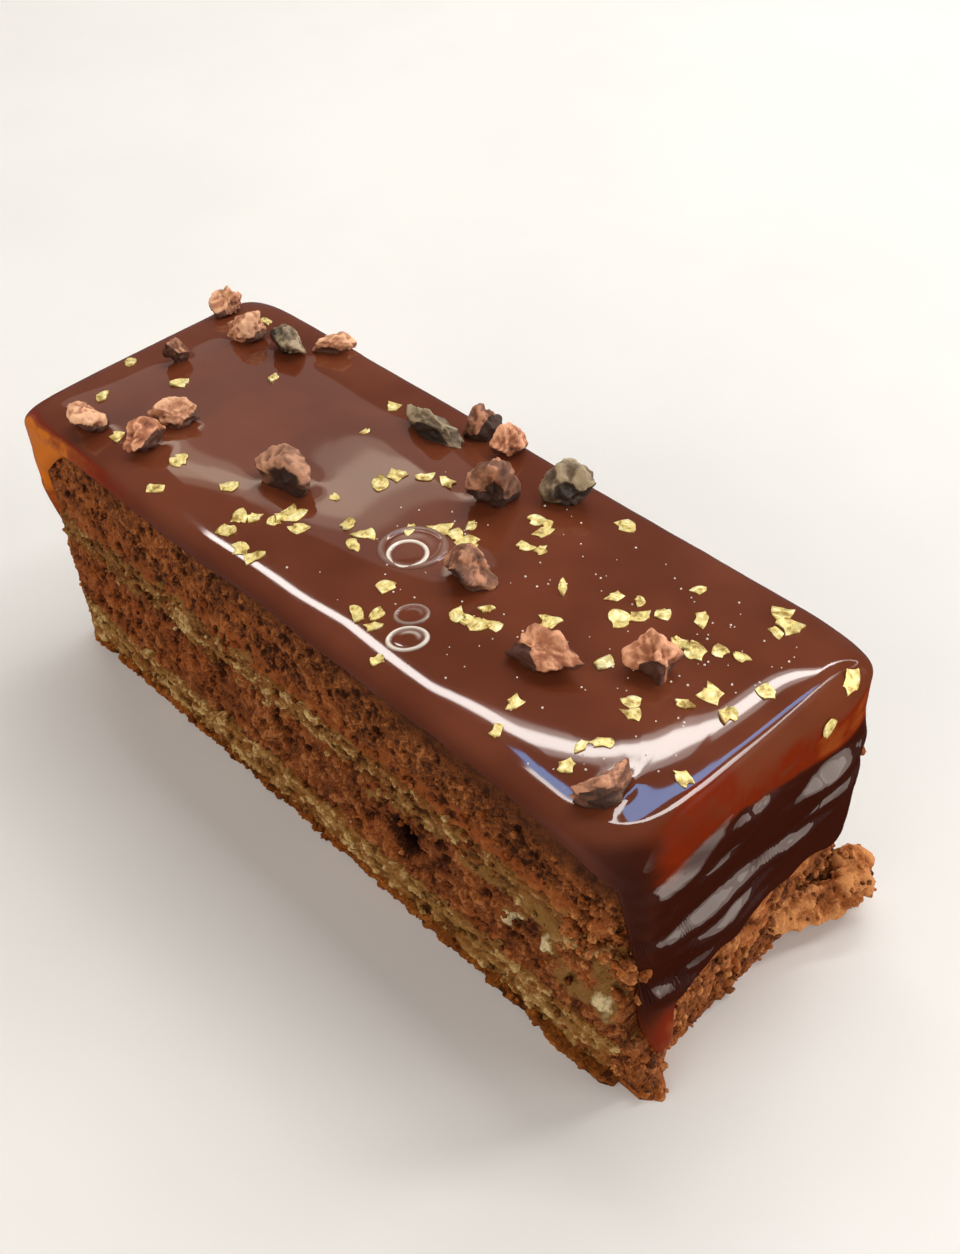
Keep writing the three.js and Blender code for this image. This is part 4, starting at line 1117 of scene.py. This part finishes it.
def nib_shell(nib, seed):
    """A broken nib: in each direction it reaches the nearest of its fracture planes, chipped by dents,
    grooved by noise and dished where it is hollow. Faces that look down and the hollow are painted dark as
    shade, some faces dark as skin at random, and faces that look up are painted paler as light."""
    directions = ball_directions(NIB_RINGS, NIB_COLUMNS)
    k = np.arange(NIB_FACETS["count"])
    normals = unit_vectors(seed, k, 1, 2, 4)
    planes = NIB_FACETS["reach"] + NIB_FACETS["uneven"] * scatter(seed, k, 6)
    cuts = planes / np.clip(directions @ normals.T, 1e-3, None)
    grooves = fractal(300 + seed, 4, *(2.4 * directions.T))
    ridges = 1 - 2 * np.abs(noise(340 + seed, *(3.1 * directions.T)))
    dents = np.arange(NIB_DENTS["count"])
    depths = NIB_DENTS["depth"] * (1 + scatter(seed, dents, 14))
    towards = directions @ unit_vectors(seed, dents, 11, 12, 13).T
    inside = ease((towards - NIB_DENTS["edge"]) / NIB_DENTS["soft"])
    reach = np.minimum(1 + 0.06 * grooves, cuts.min(1)) * np.prod(1 - depths * inside, 1)
    reach = reach * (1 + 0.16 * grooves + 0.07 * ridges)
    face = cuts.argmin(1)
    # Dark on faces that look down, painted shade, with a random share of faces and grooves as dark skin.
    dark = ease(0.22 - 0.9 * normals[face, 2] + 0.5 * (whole_hash(seed, face) - 0.5) + 0.5 * grooves)
    if "hollow" in nib:
        bearing, rise, width, depth = nib["hollow"]
        turn = math.radians(bearing) - math.radians(nib["turn"])
        aim = np.array([math.cos(turn), math.sin(turn), rise])
        dish = ease((directions @ (aim / np.linalg.norm(aim)) + 0.12 * grooves - (1 - width)) / (0.5 * width))
        reach = reach * (1 - depth * dish)
        # The hollow is painted dark as shade.
        dark = np.maximum(dark, 1.2 * dish)
    placed = on_glaze(directions * reach[:, None], nib)
    # Paler on faces that look up and on raised grooves: painted light.
    tone = 0.42 + 0.75 * grooves + 0.25 * ridges + 0.3 * normals[face, 2]
    return balls(placed[None], NIB_RINGS, NIB_COLUMNS, tone=tone, dark=dark)


# Crumbs at the foot of each end, the foot at the near corner, and the curled strip of crust

BAND = dict(depth=1.2, inside=4.0, gap=0.5, rows=52, columns=180, loose=170)
FOOT = dict(y=-15.4, reach=2.6, height=6.0, depth=3.4)
CURL_PATH = ((-1.0, 5.0, 4.8), (1.9, 11.2, 4.2), (4.0, 16.3, 4.1), (3.0, 18.8, 4.6), (0.8, 17.0, 5.1))
CURL = dict(thick=3.5, tall=5.6, rings=130, columns=52, loose=90)
CRUMB_RINGS, CRUMB_COLUMNS = 5, 9

# Crumbs on the sheets' edges at the corners: seed, end, side, lowest and highest place, height of their
# clump, number, and how deep they are sunk
CORNER_CRUMBS = (
    (571, RIGHT, NEAR, 16, 29, 22.3, 110, 0.0), (573, RIGHT, FAR, 15, 33, 24, 75, 0.4),
    (575, LEFT, NEAR, 16, 24, 18, 30, 0.9), (577, LEFT, FAR, 15, 31, 26, 55, 0.4),
    (579, RIGHT, NEAR, 0.3, 6.5, 3.5, 130, 0.8), (581, RIGHT, FAR, 0.3, 12, 3, 90, 0.8),
)
CLUMP_SHARE = 0.35

# Crumbs on the cut sides: their layer, and seed, number, lowest and highest place, least and most size, and
# how much they gather at the right end
CUT_CRUMBS = {
    "mousse_crumbs": ("lower_mousse", ((601, 420, 7.5, 30, 0.18, 0.6, 0.0),)),
    "sponge_crumbs": ("lower_sponge", ((603, 150, 17.5, 23, 0.2, 0.7, 0.0),
                                       (605, 170, 1.5, 8, 0.2, 0.7, 0.0))),
    "crust_crumbs": ("base_crust", ((607, 150, 0.1, 1.6, 0.25, 0.9, 0.3),)),
}

# Colours of the crumb as screen values: hollow, body, crest and warm, and then sponge and cream smears
CRUMB_PAINTS = {
    "base_crust": ((66, 32, 10), (118, 64, 22), (168, 102, 44), (136, 72, 22)),
    "lower_sponge": ((82, 50, 20), (146, 104, 54), (206, 176, 118), (128, 76, 30)),
    "lower_mousse": ((60, 28, 12), (112, 59, 26), (168, 104, 58), (136, 70, 30)),
    "upper_sponge": ((76, 46, 20), (134, 92, 46), (198, 168, 112), (118, 66, 28)),
    "upper_mousse": ((56, 27, 11), (104, 55, 23), (160, 98, 52), (134, 70, 30)),
}
SMEAR_PAINTS = ((132, 94, 48), (214, 194, 150))
END_PAINTS = ((72, 36, 15), (132, 74, 36), (208, 140, 84), (158, 88, 40), (150, 100, 50), (220, 170, 110))


def crumb_lumps(seed, centres, sizes):
    """Loose crumbs: balls whose reach is uneven from point to point, squashed and turned at random."""
    draw = np.random.default_rng(seed)
    directions = ball_directions(CRUMB_RINGS, CRUMB_COLUMNS)
    copies = len(centres)
    reach = 1 + 0.28 * draw.uniform(-1, 1, (copies, len(directions), 1))
    squash = draw.uniform(0.55, 1.0, (copies, 1, 3))
    turns = np.linalg.qr(draw.normal(size=(copies, 3, 3)))[0]
    points = np.einsum("cpi,cij->cpj", directions * reach * squash, turns) * sizes[:, None, None]
    # Paler where a crumb bulges out: painted light on its bumps.
    tone = np.clip(0.15 + 0.75 * draw.uniform(0, 1, (copies, 1)) + 0.9 * (reach[..., 0] - 1), 0, 1)
    warmth = np.broadcast_to(draw.uniform(0, 0.8, (copies, 1)), tone.shape)
    values = dict(tone=tone, warmth=warmth, torn=np.full(tone.shape, 0.4))
    return balls(points + centres[:, None, :], CRUMB_RINGS, CRUMB_COLUMNS, **values)


def corner_shortfall(y):
    """How far the round outline falls short of a square one on an end, at a place across it."""
    share = np.clip((np.abs(y) - CORE_Y) / ROLL_WIDTH, 0, 1)
    return ROLL_WIDTH * (1 - (1 - share ** CORNER_POWER) ** (1 / CORNER_POWER))


def band_depth(end, y, z):
    """How far the crumbs stand out of an end: lumps of two sizes on a thin band, and the near foot."""
    lump, lump_number = crumb_cells(500 + end["side"], y / 1.9, z / 1.7)
    small, small_number = crumb_cells(510 + end["side"], y / 0.8, z / 0.8)
    lumps = 0.75 * dome(lump, 0.9) * (0.3 + 0.7 * lump_number)
    grains = 0.32 * dome(small, 0.9) * small_number
    foot = FOOT["depth"] * bell(y - FOOT["y"], FOOT["reach"]) * np.clip(1 - z / FOOT["height"], 0, 1)
    # The tone is paler on the lumps and grains that stand out: painted light on them.
    tone = 0.75 * lumps + 0.8 * grains + 0.25 * (lump_number - 0.5)
    return BAND["depth"] - 0.55 + lumps + grains + foot * (end["side"] > 0), tone


def band_shell(end):
    """The crumb band under an end's hem, with loose crumbs on it."""
    side = end["side"]
    y = np.linspace(-EDGE, EDGE, BAND["columns"])[None, :]
    z = np.linspace(0, 1, BAND["rows"])[:, None] * (hem_height(end, y) - BAND["gap"])
    y = np.broadcast_to(y, z.shape)
    depth, tone = band_depth(end, y, z)
    front = np.stack([side * (CAKE_END + depth - corner_shortfall(y)), y, z], -1)
    back = np.stack([np.full_like(y, side * (CAKE_END - BAND["inside"])), y, z], -1)
    warmth = np.clip(0.5 + 0.6 * fractal(520, 2, y / 3, z / 3), 0, 1)
    values = dict(tone=tone, warmth=warmth, torn=np.full_like(tone, 0.5))
    draw = np.random.default_rng(530 + side)
    count = BAND["loose"]
    place = draw.uniform(-EDGE, EDGE, count)
    rise = draw.uniform(0.04, 0.9, count) * (hem_height(end, place) - 1.2)
    out = band_depth(end, place, rise)[0] + draw.uniform(-0.1, 0.25, count) - corner_shortfall(place)
    centres = np.stack([side * (CAKE_END + out), place, np.maximum(rise, 0.5)], -1)
    loose = crumb_lumps(540 + side, centres, draw.uniform(0.25, 0.8, count))
    return join(slab(front, back, values, values), loose)


def curl_shell():
    """The curled strip of crust: an upright oval section carried along a smooth path through five
    points, tapered round at both ends and covered with crumbly lumps."""
    path = smooth_path(np.array(CURL_PATH) + [CAKE_END, 0, 0], CURL["rings"])
    run = np.gradient(path, axis=0) * [1, 1, 0]
    aside = np.stack([run[:, 1], -run[:, 0], 0 * run[:, 0]], -1) / np.linalg.norm(run, axis=1, keepdims=True)
    turn = 2 * np.pi * np.arange(CURL["columns"]) / CURL["columns"]
    along = np.linspace(0, 1, CURL["rings"])
    taper = np.sqrt(np.clip(1 - (2 * along - 1) ** 10, 0.02, 1))[:, None]
    thick = aside[:, None, :] * np.cos(turn)[None, :, None]
    tall = np.array([0, 0, 1]) * np.sin(turn)[None, :, None]
    bare = path[:, None, :] + CURL["thick"] / 2 * thick + CURL["tall"] / 2 * tall
    rough = fractal(551, 4, *(bare / 1.5).transpose(2, 0, 1))
    unrolled = np.broadcast_arrays(12.8 * along[:, None], np.sin(turn)[None, :] * 2.4 + 7)
    lump, lump_number = crumb_cells(556, *unrolled)
    lumps = dome(lump, 0.9) * lump_number
    swell = (0.8 + 0.34 * lumps + 0.7 * rough)[..., None]
    broad = CURL["thick"] / 2 * swell + 0.25 * lumps[..., None]
    high = CURL["tall"] / 2 * (0.8 + 0.2 * swell)
    points = path[:, None, :] + taper[..., None] * (thick * broad + tall * high)
    points[..., 2] = np.maximum(points[..., 2], 0.05)
    # Paler on its lumps and where noise swells it out: painted light on its bumps.
    tone = 0.62 + 0.4 * lumps + 1.3 * rough
    warmth = 0.5 + 0.7 * fractal(555, 2, *(bare / 4).transpose(2, 0, 1))
    draw = np.random.default_rng(558)
    count = CURL["loose"]
    loose = points[draw.integers(6, CURL["rings"] - 6, count), draw.integers(0, CURL["columns"], count)]
    ends = [points[:1].mean(1), points[-1:].mean(1)]
    points = np.concatenate([ends[0], points.reshape(-1, 3), ends[1]])
    flat = [np.concatenate([[0.4], value.ravel(), [0.4]]) for value in (tone, warmth)]
    strip = balls(points[None], CURL["rings"], CURL["columns"], tone=flat[0], warmth=flat[1],
                  torn=np.full(len(points), 0.4))
    return join(strip, crumb_lumps(559, loose, draw.uniform(0.2, 0.5, count)))


def corner_crumbs(seed, end, side, low, high, clump, count, sunk):
    """Crumbs on the sheet's edge at a corner: they follow the glaze's outline from the end to the cut
    side, between two heights, and a third of them gather in a clump."""
    draw = np.random.default_rng(seed)
    turn = draw.uniform(0.85, 1.6, count)
    gathered = draw.uniform(0, 1, count) < CLUMP_SHARE
    z = np.where(gathered, draw.normal(clump, 1.2, count), draw.uniform(low, high, count))
    reach = ROLL_WIDTH - sunk - 0.9 * ease((turn - 1.0) / 0.2) + 0.6 * bell(z - clump, 1.6)
    out = corner_heading(turn, CORNER_POWER) * (reach + draw.uniform(-0.3, 0.1, count))[:, None]
    places = np.stack([end["side"] * (CORE_X + out[:, 0]), side * (CORE_Y + out[:, 1]), np.abs(z)], -1)
    return crumb_lumps(seed + 1, places, 0.25 + 0.55 * draw.uniform(0, 1, count) ** 1.5)


def cut_crumbs(seed, count, low, high, least, most, right):
    """Crumbs that cling to both cut sides between two heights, more of them towards one end."""
    draw = np.random.default_rng(seed)
    side = draw.choice([NEAR, FAR], count)
    x = (CAKE_END - 3.5) * (2 * draw.uniform(0, 1, count) ** (1 - right) - 1)
    z = draw.uniform(low, high, count)
    sizes = least + (most - least) * draw.uniform(0, 1, count) ** 2
    y = side * (CAKE_HALF + draw.uniform(-0.1, 0.25, count))
    return crumb_lumps(seed + 1, np.stack([x, y, np.maximum(z, 0.6 * sizes)], -1), sizes)


# The pieces

def build_layers(group):
    """The five layers, each in its own crumb colours, and the crumbs on their cut sides."""
    materials = {key: crumb_material(key + "_crumb", group, (*colours, *SMEAR_PAINTS))
                 for key, colours in CRUMB_PAINTS.items()}
    slots = {layer["node"]: layer["slot"] for layer in LAYERS}
    for index, layer in enumerate(LAYERS):
        node = layer["node"]
        make_piece(node + "_cut", layer_shell(index), materials[node], slots[node], node)
    for name, (node, batches) in CUT_CRUMBS.items():
        made = join(*(cut_crumbs(*batch) for batch in batches))
        make_piece(name, made, materials[node], slots[node])


def build_ends(group):
    """The crumb bands and the curl at the ends, and the crumbs at the corners."""
    material = crumb_material("end_crumb", group, END_PAINTS)
    make_piece("crumb_band_right", band_shell(RIGHT), material, "crumbs", "crumbs_right")
    make_piece("crumb_band_left", band_shell(LEFT), material, "crumbs", "crumbs_left")
    make_piece("crust_curl", curl_shell(), material, "crumbs", "crumbs_right")
    corners = join(*(corner_crumbs(*batch) for batch in CORNER_CRUMBS))
    make_piece("corner_crumbs", corners, material, "crumbs")


def build_glaze():
    """The glaze with its bubbles, and the gold flakes on it."""
    material = glaze_material()
    make_piece("glaze_skin", glaze_shell(), material, "glaze", "glaze")
    make_piece("glaze_bubbles", join(*(bubble_shell(*bubble) for bubble in BUBBLES)), material, "glaze")
    make_piece("glaze_specks", speck_shell(), material, "glaze")
    make_piece("gold_flakes", flake_shell(), gold_material(), "glaze", "glaze")


def build_nibs():
    """The nibs in their finishes."""
    group = husk_group()
    materials = {finish: husk_material(f"nib_{finish}_husk", group, colours)
                 for finish, (_, *colours) in HUSKS.items()}
    for number, nib in enumerate(NIBS, start=1):
        name = f"nib_{number:02d}"
        finish = nib["finish"]
        make_piece(name + "_husk", nib_shell(nib, number), materials[finish], HUSKS[finish][0], name)


# Floor, light and camera

CAMERA_PLACE = (95.05, -75.19, 136.59)
CAMERA_TURN, CAMERA_RISE, CAMERA_ROLL = 47.84, 43.83, -3.04
FOCAL_PIXELS = 1435.5
PHOTO_HEIGHT = 1254
SENSOR = 36.0
FLOOR_SIZE = 4000.0
FLOOR_SHADES = ((0.84, 0.83, 0.81, 1), (0.87, 0.86, 0.84, 1))
SURROUND, SURROUND_STRENGTH = (0.9, 0.93, 1.0, 1), 0.16

# Strip lights overhead: brightness, that of a halo twice as wide, colour, whether they light matt surfaces,
# and a path of places in the bar's frame with the width at each
STRIP_HEIGHT = 600
WHITE, WARM, BLUE = (1.0, 0.97, 0.92), (1.0, 0.86, 0.68), (0.16, 0.5, 1.0)
STRIPS = {
    "near_band": (20.0, 0.0, WHITE, True, (
        (-555, 100, 20), (-485, 115, 20), (-420, 135, 25), (-350, 130, 24), (-290, 180, 24))),
    "end_band": (20.0, 4.0, WHITE, True, (
        (-290, 180, 24), (-235, 310, 18), (-180, 360, 32), (-125, 385, 36), (-90, 500, 28), (30, 690, 24))),
    "hook": (15.0, 0.0, WHITE, False, (
        (30, 690, 24), (150, 980, 40), (300, 1300, 60), (370, 940, 70), (300, 740, 70))),
    "crest": (15.0, 0.0, WHITE, True, (
        (-265, 105, 9), (-215, 95, 14), (-150, 105, 18), (-80, 145, 24), (60, 255, 54), (250, 390, 56),
        (285, 450, 60), (265, 560, 64), (300, 740, 70))),
    "blue_edge": (9.5, 0.0, BLUE, False, ((-280, 130, 10), (-250, 115, 28), (-225, 125, 30))),
    "blue_corner": (9.5, 0.0, BLUE, False, (
        (-85, 170, 30), (-65, 285, 32), (-40, 335, 38), (40, 360, 50), (210, 490, 50))),
    "haze": (3.2, 1.2, WARM, True, ((-660, 210, 38), (-610, 360, 54), (-575, 480, 44))),
}

# Softboxes: place and aim in the bar's frame, width, depth, brightness, colour, and whether they light matt
# surfaces and show in glossy ones
SOFTBOXES = {
    "ceiling": ((-890, 470, 640), (-890, 470, 0), 780, 470, 0.5, (1.0, 0.91, 0.84), True, True),
    "front_fill": ((-100, -900, 420), (0, 0, 20), 1400, 800, 2.0, (1.0, 0.92, 0.82), True, False),
    "camera_key": ((330, -330, 620), (0, 0, 20), 240, 240, 5.6, (1.0, 0.95, 0.88), True, False),
    "end_fill": ((640, 390, 190), (50, 0, 25), 420, 240, 10.0, (1.0, 0.95, 0.9), True, False),
    "end_glow": ((600, 300, 280), (50, 0, 20), 1000, 640, 3.0, (1.0, 0.86, 0.75), False, True),
    "end_core_wide": ((490, 290, 380), (50, 0, 20), 720, 420, 2.2, (1.0, 0.91, 0.84), False, True),
    "end_core_middle": ((490, 290, 380), (50, 0, 20), 500, 340, 2.2, (1.0, 0.93, 0.86), False, True),
    "end_core_small": ((490, 290, 380), (50, 0, 20), 280, 240, 2.2, (1.0, 0.95, 0.88), False, True),
    "back_fill": ((-300, 900, 700), (0, 0, 20), 900, 500, 1.0, (1.0, 0.97, 0.94), True, False),
}


def place_in_frame(point):
    """A point of the bar's frame, in metres."""
    return Vector((np.array(point, float) + MIDDLE) * MM)


def build_softbox(name, place, aim, width, depth, brightness, colour, matt, glossy, turn=0, shape="ELLIPSE"):
    """An even oval or rectangular light whose power is pi times its brightness and its area."""
    light = bpy.data.lights.new(name, "AREA")
    light.shape = shape
    light.size, light.size_y = width * MM, depth * MM
    area = light.size * light.size_y * (math.pi / 4 if shape == "ELLIPSE" else 1)
    light.energy = brightness * math.pi * area
    light.color = colour
    lamp = bpy.data.objects.new(name, light)
    lamp.location = place_in_frame(place)
    facing = (place_in_frame(aim) - lamp.location).to_track_quat("-Z", "Y").to_matrix()
    lamp.rotation_euler = (facing @ Matrix.Rotation(math.radians(turn), 3, "Z")).to_euler()
    lamp.visible_diffuse, lamp.visible_glossy = matt, glossy
    bpy.context.scene.collection.objects.link(lamp)


def build_strip(name, brightness, halo, colour, matt, path):
    """A strip light that hangs overhead along a smooth path and shines straight down, in straight pieces,
    with a dimmer halo twice as wide."""
    path = smooth_path(path, 2 * len(path) - 1)
    for number, (start, finish) in enumerate(zip(path, path[1:]), start=1):
        x, y, width = (start + finish) / 2
        run = finish - start
        length = np.hypot(run[0], run[1]) + 0.2 * width
        turn = math.degrees(math.atan2(run[1], run[0]))
        for part, across, level in (("core", width, brightness), ("halo", 2 * width, halo)):
            if level:
                build_softbox(f"{name}_{part}_{number}", (x, y, STRIP_HEIGHT), (x, y, 0), length, across,
                              level, colour, matt, True, turn, "RECTANGLE")


def build_floor():
    """A plain pale floor with a faint mottle."""
    half = FLOOR_SIZE / 2 * MM
    mesh = bpy.data.meshes.new("floor")
    corners = [(-half, -half, 0), (half, -half, 0), (half, half, 0), (-half, half, 0)]
    mesh.from_pydata(corners, [], [(0, 1, 2, 3)])
    material, tree, shader = new_material("pale_floor", 0.55, Specular_IOR_Level=0.2)
    mottle = blend(tree, ramp(tree, grain(tree, 60.0), 0.3, 0.7), *FLOOR_SHADES)
    tree.links.new(mottle, shader.inputs["Base Color"])
    mesh.materials.append(material)
    floor = bpy.data.objects.new("floor", mesh)
    floor.visible_glossy = False
    bpy.context.scene.collection.objects.link(floor)


def build_camera():
    """The photograph's viewpoint: turned round the bar, looking down, and rolled a little."""
    data = bpy.data.cameras.new("camera")
    data.sensor_width = SENSOR
    data.lens = FOCAL_PIXELS / PHOTO_HEIGHT * SENSOR
    data.clip_start = 0.005
    camera = bpy.data.objects.new("camera", data)
    turn, rise = math.radians(CAMERA_TURN), math.radians(CAMERA_RISE)
    look = -Vector((math.sin(turn) * math.cos(rise), -math.cos(turn) * math.cos(rise), math.sin(rise)))
    facing = look.to_track_quat("-Z", "Y").to_matrix() @ Matrix.Rotation(math.radians(CAMERA_ROLL), 3, "Z")
    camera.matrix_world = Matrix.Translation(place_in_frame(CAMERA_PLACE)) @ facing.to_4x4()
    bpy.context.scene.collection.objects.link(camera)
    bpy.context.scene.camera = camera


def build_stage():
    """Floor, soft light, a dim surround and the camera, with colours shown as they are."""
    scene = bpy.context.scene
    world = scene.world or bpy.data.worlds.new("surround")
    scene.world = world
    world.use_nodes = True
    surround = world.node_tree.nodes["Background"].inputs
    surround["Color"].default_value = SURROUND
    surround["Strength"].default_value = SURROUND_STRENGTH
    scene.view_settings.view_transform = "Standard"
    for name, softbox in SOFTBOXES.items():
        build_softbox(name, *softbox)
    for name, strip in STRIPS.items():
        build_strip(name, *strip)
    build_floor()
    build_camera()


crumb = crumb_group()
build_stage()
build_layers(crumb)
build_ends(crumb)
build_glaze()
build_nibs()
